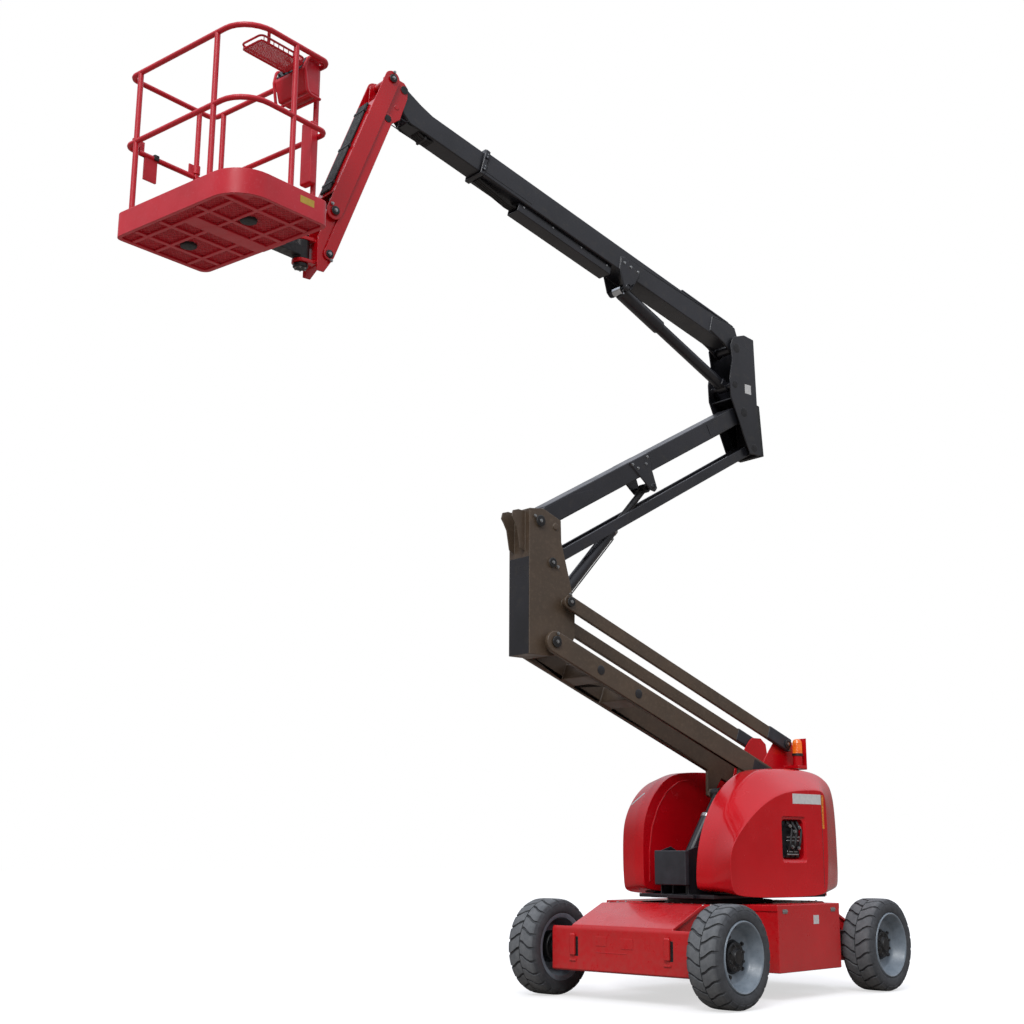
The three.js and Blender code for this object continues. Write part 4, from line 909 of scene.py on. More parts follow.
def tyre(place_name, centre, side):
    bm = bmesh.new()
    half = TYRE_WIDTH / 2
    floor = TYRE_RADIUS - 0.015
    profile = [
        (RIM_RADIUS + 0.0005, half - 0.012), (RIM_RADIUS + 0.006, half - 0.007),
        (RIM_RADIUS + 0.016, half - 0.004), (RIM_RADIUS + 0.030, half - 0.001),
        (RIM_RADIUS + 0.050, half - 0.001), (floor - 0.024, half - 0.004),
        (floor - 0.012, half - 0.012), (floor - 0.003, half - 0.026), (floor, half - 0.044),
    ]
    ring = profile + [(r, -y) for r, y in reversed(profile)] + [profile[0]]
    turned(bm, ring, (0, 0, 0), (0, 1, 0), 88)
    bmesh.ops.remove_doubles(bm, verts=bm.verts, dist=1e-6)
    pitch = 2 * pi / LUGS
    across = 4
    lug = bmesh.new()
    for hand in (1, -1):
        grid = bmesh.ops.create_grid(
            lug, x_segments=len(TREAD) - 1, y_segments=across - 1, size=0.5
        )["verts"]
        grown = bmesh.ops.extrude_face_region(
            lug, geom=list({f for v in grid for f in v.link_faces})
        )["geom"]
        raised_verts = {v for v in grown if isinstance(v, bmesh.types.BMVert)}
        for v in list(grid) + list(raised_verts):
            t = v.co.x + 0.5
            step = t * (len(TREAD) - 1)
            i = min(int(step + 1e-6), len(TREAD) - 2)
            f = step - i
            y = TREAD[i][0] * (1 - f) + TREAD[i + 1][0] * f
            r = TREAD[i][1] * (1 - f) + TREAD[i + 1][1] * f
            gap = GROOVE / r
            curl = max(0.0, 1 - t / 0.62)
            lean = 0.5 * pitch * curl * curl * (3 - 2 * curl)
            top_face = v in raised_verts
            slope = 0.9 if top_face else 1.0
            angle = v.co.y * (pitch - gap) * slope - lean + (0 if hand > 0 else pitch / 2)
            if not top_face:
                r -= 0.019
                y -= 0.010 * t
            v.co = (r * cos(angle), y * hand, r * sin(angle))
    bmesh.ops.remove_doubles(lug, verts=lug.verts, dist=1e-6)
    bmesh.ops.recalc_face_normals(lug, faces=lug.faces)
    bmesh.ops.spin(
        lug,
        geom=list(lug.verts) + list(lug.edges) + list(lug.faces),
        cent=(0, 0, 0),
        axis=(0, 1, 0),
        angle=2 * pi * (LUGS - 1) / LUGS,
        steps=LUGS - 1,
        use_duplicate=True,
    )
    treads = bpy.data.meshes.new("tread")
    lug.to_mesh(treads)
    lug.free()
    bm.from_mesh(treads)
    bpy.data.meshes.remove(treads)
    bmesh.ops.recalc_face_normals(bm, faces=bm.faces)
    place = Matrix.Translation(centre) @ Matrix.Rotation(0 if side > 0 else pi, 4, "Z")
    piece(
        f"lugged_tyre_{place_name}", bm, f"wheel_{place_name}", RUBBER, place,
        (f"tyre_{place_name}",), smooth=32,
    )


def wheel_rim(place_name, centre, side):
    half = TYRE_WIDTH / 2
    bm = bmesh.new()
    profile = [
        (RIM_RADIUS, -half + 0.012), (RIM_RADIUS, half - 0.012),
        (RIM_RADIUS - 0.003, half - 0.005), (RIM_RADIUS - 0.008, half - 0.002),
        (RIM_RADIUS - 0.014, half - 0.004), (RIM_RADIUS - 0.019, half - 0.010),
        (RIM_RADIUS - 0.022, half - 0.022), (RIM_RADIUS - 0.036, half - 0.040),
        (RIM_RADIUS - 0.050, half - 0.075), (RIM_RADIUS - 0.058, half - 0.092),
        (RIM_RADIUS - 0.070, half - 0.098), (0.112, half - 0.104), (0.060, half - 0.104),
        (0.060, half - 0.122), (0.126, half - 0.122), (RIM_RADIUS - 0.066, half - 0.112),
        (RIM_RADIUS - 0.046, half - 0.150), (RIM_RADIUS - 0.030, -half + 0.020),
        (RIM_RADIUS - 0.010, -half + 0.012), (RIM_RADIUS, -half + 0.012),
    ]
    turned(bm, profile, (0, 0, 0), (0, 1, 0), 88)
    place = Matrix.Translation(centre) @ Matrix.Rotation(0 if side > 0 else pi, 4, "Z")
    piece(
        f"dished_rim_{place_name}", bm, f"wheel_{place_name}", RIM, place,
        (f"rim_{place_name}",), smooth=40,
    )
    hub = bmesh.new()
    turned(
        hub,
        [
            (0.058, -half + 0.060), (0.108, -half + 0.060), (0.112, -half + 0.066),
            (0.112, half - 0.104), (0.104, half - 0.098), (0.098, half - 0.076),
            (0.090, half - 0.070), (0.060, half - 0.068), (0.050, half - 0.060),
            (0.044, half - 0.050), (0, half - 0.048),
        ],
        (0, 0, 0),
        (0, 1, 0),
        48,
    )
    for k in range(8):
        angle = 2 * pi * (k + 0.5) / 8
        bolt(
            hub, (0.078 * cos(angle), half - 0.070, 0.078 * sin(angle)), (0, 1, 0), 0.010,
            0.014,
        )
    for k in range(5):
        angle = 2 * pi * k / 5
        bolt(
            hub, (0.135 * cos(angle), half - 0.104, 0.135 * sin(angle)), (0, 1, 0), 0.012,
            0.016,
        )
    piece(f"hub_{place_name}", hub, f"wheel_{place_name}", STEEL, place, smooth=30)


def wheels():
    for place_name, x, side in (
        ("front_left", AXLE_X, 1), ("front_right", AXLE_X, -1), ("rear_left", -AXLE_X, 1),
        ("rear_right", -AXLE_X, -1),
    ):
        centre = (x, side * (TRACK_OUTER - TYRE_WIDTH / 2), TYRE_RADIUS)
        tyre(place_name, centre, side)
        wheel_rim(place_name, centre, side)


# ------------------------------------------------------------------ turret
LEFT_FACE = 0.598
WINDOW_BACK = LEFT_FACE - 0.073
DECK_TOP = 0.7143
HOOD_REAR, HOOD_TOP, SKIRT = -0.992, 1.640, 0.695
LEFT_TALL = [
    (HOOD_REAR + 0.002, DECK_TOP + 0.070), (HOOD_REAR + 0.040, DECK_TOP), (0.410, DECK_TOP),
    (0.452, DECK_TOP + 0.060), (0.440, 0.950), (0.419, 1.055), (0.366, 1.213), (0.264, 1.386),
    (0.129, 1.520), (-0.040, HOOD_TOP - 0.028), (-0.158, HOOD_TOP - 0.002),
    (-0.381, HOOD_TOP + 0.012), (-0.733, HOOD_TOP), (-0.874, HOOD_TOP - 0.059),
    (HOOD_REAR + 0.006, 1.493), (HOOD_REAR, 0.952),
]
LEFT_LOW = [
    (-0.596, SKIRT + 0.050), (-0.566, SKIRT), (0.430, SKIRT), (0.476, SKIRT + 0.060),
    (0.488, 0.953), (0.462, 1.054), (0.400, 1.130), (0.290, 1.236), (0.139, 1.345),
    (-0.029, 1.427), (-0.200, 1.468), (-0.400, 1.482), (-0.590, 1.486), (-0.608, 1.430),
    (-0.622, 1.350), (-0.620, 0.953),
]
RIGHT_TALL = [
    (HOOD_REAR + 0.002, DECK_TOP + 0.070), (HOOD_REAR + 0.040, DECK_TOP), (0.410, DECK_TOP),
    (0.450, DECK_TOP + 0.060), (0.452, 0.950), (0.450, 1.107), (0.440, 1.240), (0.390, 1.360),
    (0.300, 1.482), (0.160, 1.598), (-0.020, 1.636), (-0.381, 1.642),
    (-0.733, HOOD_TOP - 0.010), (-0.874, HOOD_TOP - 0.059), (HOOD_REAR + 0.006, 1.493),
    (HOOD_REAR, 0.952),
]
RIGHT_LOW = [
    (-0.900, SKIRT + 0.050), (-0.866, SKIRT), (0.390, SKIRT), (0.424, SKIRT + 0.056),
    (0.432, 0.950), (0.430, 1.100), (0.420, 1.226), (0.372, 1.340), (0.286, 1.456),
    (0.140, 1.562), (-0.030, 1.588), (-0.381, 1.592), (-0.700, 1.580), (-0.826, 1.530),
    (-0.906, 1.450), (-0.912, 0.952),
]


def hood_shell(tall, low, inner, outer, lean):
    """A closed moulding through three outlines, smooth round them and creased along them."""
    bm = bmesh.new()
    crease = bm.edges.layers.float.new("crease_edge")
    rings = []
    for outline, y, sharp in (
        (tall, inner, 0.62), (tall, outer - lean, 0.50), (low, outer, 0.58),
    ):
        verts = [bm.verts.new((u, y, z)) for u, z in outline]
        ring = [bm.edges.new(pair) for pair in zip(verts, verts[1:] + verts[:1])]
        for edge in ring:
            edge[crease] = sharp
        rings.append(ring)
    for near, far in zip(rings, rings[1:]):
        bmesh.ops.bridge_loops(bm, edges=near + far)
    for ring in (rings[0], rings[-1]):
        cap = bmesh.ops.contextual_create(bm, geom=ring)["faces"]
        bmesh.ops.inset_region(bm, faces=cap, thickness=0.05, use_even_offset=True)
    bmesh.ops.recalc_face_normals(bm, faces=bm.faces)
    return baked(bm, ("SUBSURF", {"levels": 4, "render_levels": 4}))


def window_cutters():
    wide, deep = bmesh.new(), bmesh.new()
    block(wide, (-0.372, LEFT_FACE - 0.016, 0.938), (-0.082, 0.70, 1.288), 0.034, 5)
    block(deep, (-0.350, LEFT_FACE - 0.075, 0.968), (-0.104, 0.70, 1.260), 0.036, 6)
    return wide, deep


def moulding(side, shell):
    return piece(
        f"{side}_hood_moulding", shell, "turret", ENAMEL, TURRET, (f"hood_{side}",),
        smooth=24, merged=False,
    )


def hoods():
    shell = hood_shell(LEFT_TALL, LEFT_LOW, 0.226, LEFT_FACE, 0.200)
    for cutter in window_cutters():
        shell = carved(shell, cutter)
    left = moulding("left", shell)
    shell = hood_shell(RIGHT_TALL, RIGHT_LOW, 0.312, 0.554, 0.150)
    bmesh.ops.scale(shell, verts=shell.verts, vec=(1, -1, 1))
    bmesh.ops.reverse_faces(shell, faces=shell.faces)
    right = moulding("right", shell)
    u = TURRET @ Vector((1, 0, 0))

    def at(x, y, z):
        return TURRET @ Vector((x, y, z))

    stuck_on(
        "hood_label", left, at(-0.390, LEFT_FACE, 1.412), -u, UP, (0.330, 0.074), WHITE_LABEL,
        "turret",
    )
    stuck_on(
        "hood_rear_tape", left, at(-0.572, LEFT_FACE, 1.32), -u, UP, (0.026, 0.250), TAPE,
        "turret",
    )
    rise = at(-0.049, 0.101, 0.089).normalized()
    outward = at(0.77, -0.18, 0.62).normalized()
    stuck_on(
        "hood_front_stripe", right, at(0.322, -0.485, 1.422), rise, outward.cross(rise),
        (0.143, 0.019), WHITE_LABEL, "turret",
    )
    seam = bmesh.new()
    block(seam, (-0.562, 0.5975, 0.76), (-0.5585, 0.5990, 1.47), 0.0005)
    piece("hood_panel_seam", seam, "turret", STEEL, TURRET)
    arc = bmesh.new()
    path = [
        (0.385, 0.80), (0.382, 1.02), (0.352, 1.20), (0.280, 1.360), (0.180, 1.480),
        (0.05, 1.555), (-0.06, 1.572),
    ]
    bent_tube(arc, [(x, -0.3125, z) for x, z in path], 0.006, 0.20, sides=12)
    piece("hood_inner_bead", arc, "turret", ENAMEL, TURRET, merged=False)
    valves, steel, hoses = bmesh.new(), bmesh.new(), bmesh.new()
    back = WINDOW_BACK
    block(valves, (-0.336, back, 0.982), (-0.118, back + 0.030, 1.247), 0.006)
    for x, z in ((-0.285, 1.20), (-0.23, 1.17), (-0.18, 1.21), (-0.27, 1.05), (-0.20, 1.06)):
        rod(valves, (x, back + 0.04, z), (x, back + 0.078, z), 0.016, 0.003, 16)
        bolt(steel, (x, back + 0.078, z), (0, 1, 0), 0.010, 0.010)
    for k, z in enumerate((1.13, 1.105, 1.005, 1.025)):
        rod(
            steel, (-0.31 + 0.01 * k, back + 0.052, z), (-0.165, back + 0.052, z), 0.006, 0.001,
            10,
        )
    for x in (-0.30, -0.245, -0.19):
        bow = [
            (x, back + 0.03, 1.25), (x - 0.01, back + 0.075, 1.18),
            (x + 0.02, back + 0.082, 1.08), (x + 0.01, back + 0.03, 0.985),
        ]
        bent_tube(hoses, bow, 0.0085, 0.03, sides=12)
    piece("window_manifold", valves, "turret", VALVES, TURRET, merged=False)
    piece("window_fittings", steel, "turret", ZINC, TURRET, merged=False)
    piece("window_hoses", hoses, "turret", SHEET, TURRET, merged=False)


def beacon():
    bm = bmesh.new()
    low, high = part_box("beacon_lens")
    centre = (low + high) / 2
    height = high.z - low.z
    profile = [(0, 0), (0.040, 0), (0.040, 0.010)]
    ribs = 7
    for k in range(ribs):
        z = 0.012 + (height - 0.040) * k / ribs
        profile += [(0.0375, z), (0.0390, z + 0.006)]
    profile += [
        (0.036, height - 0.026), (0.030, height - 0.010), (0.018, height - 0.002), (0, height),
    ]
    turned(bm, profile, (centre.x, centre.y, low.z), (0, 0, 1), 36)
    piece("ribbed_beacon_lens", bm, "turret", AMBER, None, ("beacon_lens",), smooth=25)
    ring = bmesh.new()
    turned(
        ring,
        [(0.0385, -0.004), (0.044, -0.003), (0.044, 0.012), (0.0415, 0.016), (0.0405, 0.016)],
        (centre.x, centre.y, low.z), (0, 0, 1), 36,
    )
    piece("beacon_base_ring", ring, "turret", STEEL)
    guard = bmesh.new()
    block(guard, (-0.800, 0.195, 1.66), (-0.792, 0.285, 1.905), 0.003)
    block(guard, (-0.800, 0.195, 1.655), (-0.700, 0.200, 1.70), 0.002)
    piece("beacon_guard", guard, "turret", ENAMEL, TURRET)


def turret():
    dressed("turret_frame", BLACK, 0.003)
    dressed("mast", ENAMEL, 0.003)
    hoods()
    dressed("hydraulic_pack", VALVES, 0.010)
    dressed("battery_pack", VALVES, 0.010)
    dressed("front_box", COVER, 0.009, 3)
    dressed("counterweight", CASTING, 0.012, 3)
    dressed("beacon_stand", ENAMEL, 0.003)
    beacon()
    pins = (
        (LOWER_PIVOT.x, LOWER_PIVOT.y, 0.190, 0.034, 200),
        (
            LOWER_PIVOT.x + LOWER_LINK_OFFSET.x, LOWER_PIVOT.y + LOWER_LINK_OFFSET.y, 0.190,
            0.028, 250,
        ),
    )
    pin_heads("mast", "turret", TURRET, pins)


# ------------------------------------------------------------------ lifting cylinders
def gland(name, body, foot, eye, bore, length, piped=True):
    """The gland nut at the barrel's mouth and, on a bare barrel, its ports and feed pipe."""
    turn = bearing(foot, eye)
    nut, pipe = bmesh.new(), bmesh.new()
    turned(
        nut,
        [
            (bore * 0.62, length - 0.001), (bore - 0.002, length),
            (bore + 0.003, length - 0.004), (bore + 0.003, length - 0.030),
            (bore, length - 0.034), (bore * 0.9, length - 0.034),
        ],
        (0, 0, 0), (1, 0, 0), 36,
    )
    for reach in (0.09, length - 0.06) if piped else ():
        rod(nut, (reach, 0, bore - 0.004), (reach, 0, bore + 0.013), 0.011, 0.002, 16)
    bent_tube(
        pipe,
        [
            (0.09, 0, bore + 0.011), (0.105, 0, bore + 0.013),
            (length - 0.075, 0, bore + 0.013), (length - 0.06, 0, bore + 0.011),
        ],
        0.005, 0.01, sides=12,
    )
    place = boom_plane(foot, turn)
    piece(f"{name}_gland", nut, body, ZINC, place, smooth=30, merged=False)
    if piped:
        piece(f"{name}_feed_pipe", pipe, body, STEEL, place, merged=False)


def bearing(foot, eye):
    return (eye - foot).angle_signed(Vector((1, 0))) / pi * 180


LOWER_LIFT_FOOT = Vector((0.330, 0.900))
LOWER_LIFT_EYE = along(LOWER_PIVOT, LOWER_ANGLE, 0.430, -0.270)
UPPER_LIFT_FOOT = LOWER_TIP + LOWER_LINK_OFFSET
UPPER_LIFT_EYE = along(UPPER_PIVOT, 180 - UPPER_ANGLE, 1.240, 0.180)
BOOM_EYE = along(BOOM_PIVOT, BOOM_ANGLE, 1.245, -0.105)


def cylinders():
    for node in (
        "lower_lift_barrel", "upper_lift_barrel", "boom_lift_barrel", "jib_lift_barrel",
    ):
        dressed(node, BLACK, 0.003)
    for node in ("lower_lift_rod", "upper_lift_rod"):
        dressed(node, STEEL, 0.002)
    dressed("jib_lift_rod", CHROME, 0.002)
    gland("lower_lift", "lower_lift_barrel", LOWER_LIFT_FOOT, LOWER_LIFT_EYE, 0.046, 0.474)
    gland("upper_lift", "upper_lift_barrel", UPPER_LIFT_FOOT, UPPER_LIFT_EYE, 0.044, 0.880)
    gland("boom_lift", "boom_lift_cylinder_barrel", BOOM_FOOT, BOOM_EYE, 0.046, 0.900, False)
    gland("jib_lift", "jib_lift_cylinder_barrel", JIB_LINK_PIVOT, JIB_TIP, 0.034, 0.790)
    length = (BOOM_EYE - BOOM_FOOT).length
    place = boom_plane(BOOM_FOOT, bearing(BOOM_FOOT, BOOM_EYE))
    bright, sleeve = bmesh.new(), bmesh.new()
    rod(bright, (0.165, 0, 0), (length - 0.024, 0, 0), 0.027, 0.003, 36)
    turned(bright, [
        (0.022, -0.046), (0.040, -0.046), (0.040, 0.046), (0.022, 0.046), (0.022, -0.046),
    ],
           (length, 0, 0), (0, 1, 0), 32)
    piece(
        "boom_lift_bright_rod", bright, "boom_lift_cylinder_rod", CHROME, place,
        ("boom_lift_rod",), smooth=30, merged=False,
    )
    turned(
        sleeve,
        [
            (0.052, length - 0.480), (0.056, length - 0.480), (0.058, length - 0.478),
            (0.058, length - 0.030), (0.054, length - 0.020), (0.027, length - 0.020),
            (0.027, length - 0.045), (0.052, length - 0.045), (0.052, length - 0.480),
        ],
        (0, 0, 0), (1, 0, 0), 40,
    )
    piece(
        "boom_lift_sleeve", sleeve, "boom_lift_cylinder_rod", BLACK, place, smooth=30,
        merged=False,
    )


# ------------------------------------------------------------------ arms
def lower_arm():
    dressed("lower_arm", DUSTY, 0.008, 3)
    dressed("lower_link_left", DUSTY, 0.006, 2)
    dressed("lower_link_right", DUSTY, 0.006, 2)
    dressed("knuckle_lower", DUSTY, 0.004)
    place = boom_plane(LOWER_PIVOT, LOWER_ANGLE)
    caps = bmesh.new()
    for side in (1, -1):
        prism(caps, [(0.02, -0.06), (0.30, -0.06), (0.30, 0.06), (0.02, 0.06)],
              side * 0.1825 - 0.0015, side * 0.1825 + 0.0015, 0.001)
        for x in (1.62, 2.02):
            turned(caps, [(0, 0), (0.034, 0), (0.034, 0.003), (0.028, 0.006), (0, 0.006)],
                   (x, side * 0.182, 0.0), (0, side, 0), 24)
    piece("lower_arm_side_pads", caps, "lower_arm", BLACK, place, merged=False)
    ends = bmesh.new()
    for side in (1, -1):
        block(
            ends, (-0.045, side * 0.163 - 0.021, -0.050), (0.235, side * 0.163 + 0.021, 0.058),
            0.014, 3,
        )
    piece("lower_link_end_covers", ends, "lower_links", COVER,
          boom_plane(
              LOWER_PIVOT + LOWER_LINK_OFFSET, LOWER_ANGLE,
          ), merged=False)
    knuckle = boom_plane(LOWER_TIP)
    offsets = (
        (0, 0, 0.190, 0.034, 100), (LOWER_LINK_OFFSET.x, LOWER_LINK_OFFSET.y, 0.190, 0.028, 80),
        (UPPER_PIN_OFFSET.x, UPPER_PIN_OFFSET.y, 0.125, 0.034, 30),
        (
            UPPER_PIN_OFFSET.x + UPPER_LINK_OFFSET.x, UPPER_PIN_OFFSET.y + UPPER_LINK_OFFSET.y,
            0.125, 0.028, 210,
        ),
    )
    pin_heads("knuckle_lower", "knuckle_lower", knuckle, offsets)
    # Painted shade: a plate in the undusted black coat makes the knuckle's front face darker
    # than its dusty sides.
    plate = bmesh.new()
    block(plate, (0.1895, -0.106, -0.090), (0.1925, 0.106, 0.60), 0.001)
    piece("knuckle_lower_front_shade_plate", plate, "knuckle_lower", BLACK, knuckle, merged=False)


def upper_arm():
    dressed("upper_arm", BLACK, 0.008, 3)
    dressed("upper_link", BLACK, 0.005)
    dressed("knuckle_upper", BLACK, 0.004)
    dressed("knuckle_guard", SHEET, 0.005)
    arm = boom_plane(UPPER_PIVOT, 180 - UPPER_ANGLE)
    plates = bmesh.new()
    for side in (1, -1):
        y = side * 0.0895
        prism(plates, [
            (0.02, -0.060), (0.40, -0.060), (0.62, -0.02), (0.62, 0.02), (0.40, 0.060),
            (0.02, 0.060),
        ],
              y - 0.002, y + 0.002, 0.001)
        prism(
            plates, [(2.10, -0.045), (2.36, -0.055), (2.36, 0.055), (2.10, 0.045)], y - 0.002,
            y + 0.002, 0.001,
        )
    piece("upper_arm_doublers", plates, "upper_arm", BLACK, arm, merged=False)
    bolts = bmesh.new()
    for side in (1, -1):
        for x, z in ((1.12, -0.045), (1.30, -0.045), (1.16, -0.0), (1.26, -0.0)):
            bolt(bolts, (x, side * 0.098, z), (0, side, 0), 0.009, 0.009)
    piece("upper_arm_lug_bolts", bolts, "upper_arm", ZINC, arm, merged=False)
    riser = boom_plane(UPPER_TIP)
    offsets = (
        (0, 0, 0.126, 0.034, 120), (UPPER_LINK_OFFSET.x, UPPER_LINK_OFFSET.y, 0.126, 0.028, 60),
        (BOOM_PIN_OFFSET.x, BOOM_PIN_OFFSET.y, 0.126, 0.034, 230),
        (BOOM_FOOT_OFFSET.x, BOOM_FOOT_OFFSET.y, 0.126, 0.026, 130),
    )
    pin_heads("knuckle_upper", "knuckle_upper", riser, offsets, FLUSH)
    label = bmesh.new()
    block(label, (-0.095, 0.1262, 0.17), (-0.020, 0.1268, 0.25), 0.0001)
    piece("knuckle_label", label, "knuckle_upper", WHITE_LABEL, riser)


def boom():
    dressed("boom_outer", BLACK, 0.009, 3)
    dressed("boom_hose_channel", BLACK, 0.006)
    dressed("boom_fly", BLACK, 0.009, 3)
    place = boom_plane(BOOM_PIVOT, BOOM_ANGLE)
    collar, bolts, guides = bmesh.new(), bmesh.new(), bmesh.new()
    for side in (1, -1):
        for z in (0.045, 0.150):
            block(
                guides, (BOOM_LENGTH - 0.034, side * 0.098 - 0.004, z - 0.022),
                (
                    BOOM_LENGTH - 0.004, side * 0.098 + 0.006 * (1 if side > 0 else -1) + 0.004,
                    z + 0.022,
                ),
                0.003,
            )
            for dz in (-0.012, 0.012):
                bolt(
                    bolts, (BOOM_LENGTH - 0.019, side * 0.104, z + dz), (0, side, 0), 0.006,
                    0.006,
                )
        block(
            collar, (2.30, side * 0.0885 - 0.002, 0.030), (2.76, side * 0.0885 + 0.002, 0.165),
            0.001,
        )
    for y in (-0.05, 0.05):
        block(
            guides, (BOOM_LENGTH - 0.036, y - 0.028, 0.203),
            (BOOM_LENGTH - 0.002, y + 0.028, 0.214), 0.003,
        )
        for dy in (-0.015, 0.015):
            bolt(bolts, (BOOM_LENGTH - 0.019, y + dy, 0.214), (0, 0, 1), 0.006, 0.006)
    for x in (1.18, 1.26, 1.33):
        for side in (1, -1):
            bolt(bolts, (x, side * 0.100, 0.075), (0, side, 0), 0.009, 0.008)
    for x in (1.47, 1.75, 2.05, 2.35):
        for side in (1, -1):
            bolt(bolts, (x, side * 0.062, -0.020), (0, side, 0), 0.006, 0.006)
    piece("boom_side_doublers", collar, "boom_outer", BLACK, place, merged=False)
    piece(
        "boom_wear_pads", guides, "boom_outer", COVER, place, merged=False,
    )
    piece("boom_bolts", bolts, "boom_outer", ZINC, place, merged=False)
    carrier = bmesh.new()
    for y in (-0.030, -0.010, 0.010, 0.030):
        bent_tube(
            carrier,
            [(2.40, y, -0.040), (2.46, y, -0.045), (2.62, y, -0.028), (2.775, y, -0.012)],
            0.008, 0.06, sides=12,
        )
    piece(
        "boom_mouth_hoses", carrier, "boom_outer", SHEET, place,
        merged=False,
    )
    nose = bmesh.new()
    for k, y in enumerate((-0.040, -0.020, 0.000, 0.020, 0.040)):
        bent_tube(
            nose,
            [
                (3.21, y, 0.030), (3.25, y, 0.004), (3.31, y, -0.004 - 0.003 * (k % 2)),
                (3.37, y, 0.010), (3.38, y, 0.060),
            ],
            0.009, 0.05, sides=12,
        )
    block(nose, (3.29, -0.055, -0.017), (3.31, 0.055, 0.012), 0.004)
    piece("fly_nose_hoses", nose, "boom_fly", SHEET, place, merged=False)


def jib():
    dressed("jib_head", ENAMEL, 0.003)
    dressed("jib_arm", ENAMEL, 0.004)
    dressed("jib_link", ENAMEL, 0.004)
    dressed("basket_mount", ENAMEL, 0.003)
    dressed("basket_swivel", STEEL, 0.004)
    # Hoses along the jib arm, laid across its whole tie plate: real hoses, whose black also
    # stands in as painted shade for the arm's open, shaded channel.
    hoses = bmesh.new()
    for k in range(5):
        y = 0.024 * (k - 2)
        rod(hoses, (0.260, y, 0.0715), (1.060, y, 0.0715), 0.010, 0.003, 14)
    for x in (0.330, 0.660, 0.990):
        block(hoses, (x - 0.012, -0.066, 0.0605), (x + 0.012, 0.066, 0.0845), 0.004)
    piece(
        "jib_hoses_and_channel_shade", hoses, "jib_arm", SHEET, boom_plane(JIB_PIVOT, JIB_ANGLE),
        merged=False,
    )
    head = boom_plane(HEAD_PIVOT)
    drop = JIB_PIN_OFFSET + JIB_LINK_OFFSET
    inner = ((0, 0, 0.093, 0.024, 150), (drop.x, drop.y, 0.105, 0.020, 250))
    pin_heads("jib_head_inner", "jib_head", head, inner, FLUSH)
    pin_heads("jib_head", "jib_head", head, (
        (JIB_PIN_OFFSET.x, JIB_PIN_OFFSET.y, 0.125, 0.024, 100),
    ))
    tip = boom_plane(JIB_TIP)
    pin_heads("basket_mount", "basket_mount", tip, (
        (0, 0, 0.125, 0.024, 60),
        (JIB_LINK_OFFSET.x, JIB_LINK_OFFSET.y, 0.105, 0.020, 250),
    ))
    motor, bolts = bmesh.new(), bmesh.new()
    x, z = SWIVEL_OFFSET
    rod(motor, (x, 0, z + 0.120), (x, 0, z + 0.150), 0.048, 0.006, 32)
    rod(motor, (x, 0, z - 0.092), (x, 0, z - 0.060), 0.050, 0.008, 32)
    for k in range(6):
        turn = 2 * pi * k / 6
        bolt(
            bolts, (x + 0.036 * cos(turn), 0.036 * sin(turn), z - 0.092), (0, 0, -1), 0.006,
            0.006,
        )
    piece("swivel_motor", motor, "basket_mount", STEEL, tip, merged=False)
    piece("swivel_bolts", bolts, "basket_mount", ZINC, tip, merged=False)


# ------------------------------------------------------------------ basket
RAIL, RAIL_INSET = 0.018, 0.0083
RAIL_X, RAIL_Y = HALF_DEPTH - RAIL_INSET - RAIL, HALF_WIDTH - RAIL_INSET - RAIL
FLOOR_TOP = FLOOR_BOTTOM + 0.0263
TOP_RAIL, MID_RAIL = FLOOR_BOTTOM + 1.147 - RAIL, FLOOR_BOTTOM + 0.640
GATE = (RAIL_X - 0.076, -RAIL_X + 0.120)


def on_basket(name, bm, material=BASKET_RED, replaces=(), smooth=35):
    piece(name, bm, "basket", material, BASKET, replaces, smooth, merged=False)


def corner_path(half_x, half_y, radii, z, steps=7):
    """A rounded rectangle from its +X +Y corner onwards."""
    path = []
    corners = (
        (1, 1, radii[0], 0), (-1, 1, radii[1], 90), (-1, -1, radii[2], 180),
        (1, -1, radii[3], 270),
    )
    for sx, sy, radius, start in corners:
        for k in range(steps + 1):
            turn = radians(start + 90 * k / steps)
            path.append((
                sx * (half_x - radius) + radius * cos(turn),
                sy * (half_y - radius) + radius * sin(turn), z,
            ))
    return path


RAIL_BENDS = (0.205, 0.060, 0.060, 0.060)


def rails():
    bm = bmesh.new()
    radii = RAIL_BENDS
    bent_tube(bm, corner_path(RAIL_X, RAIL_Y, radii, TOP_RAIL), RAIL, closed=True, sides=16)
    around = corner_path(RAIL_X, RAIL_Y, radii, MID_RAIL)
    lower_side = [p for p in around if p[1] < -RAIL_Y + 0.001]
    first, last = around.index(lower_side[-1]), around.index(lower_side[0])
    opened = around[first:] + around[: last + 1]
    middle = [(GATE[0], -RAIL_Y, MID_RAIL)] + opened + [(GATE[1], -RAIL_Y, MID_RAIL)]
    bent_tube(bm, middle, RAIL, sides=16)
    posts = (
        (RAIL_X, RAIL_Y - 0.274), (RAIL_X, -RAIL_Y + 0.110), (GATE[0], -RAIL_Y),
        (GATE[1], -RAIL_Y), (-RAIL_X, -RAIL_Y + 0.110), (-RAIL_X, RAIL_Y - 0.110),
        (-0.060, RAIL_Y),
    )
    for x, y in posts:
        rod(bm, (x, y, FLOOR_TOP), (x, y, TOP_RAIL), RAIL, 0.001, 20)
        rod(
            bm, (x, y, FLOOR_TOP), (x, y, FLOOR_BOTTOM + 0.034), RAIL + 0.008,
            0.002, 20,
        )
    on_basket("tube_rails", bm, replaces=("basket_rails",), smooth=40)


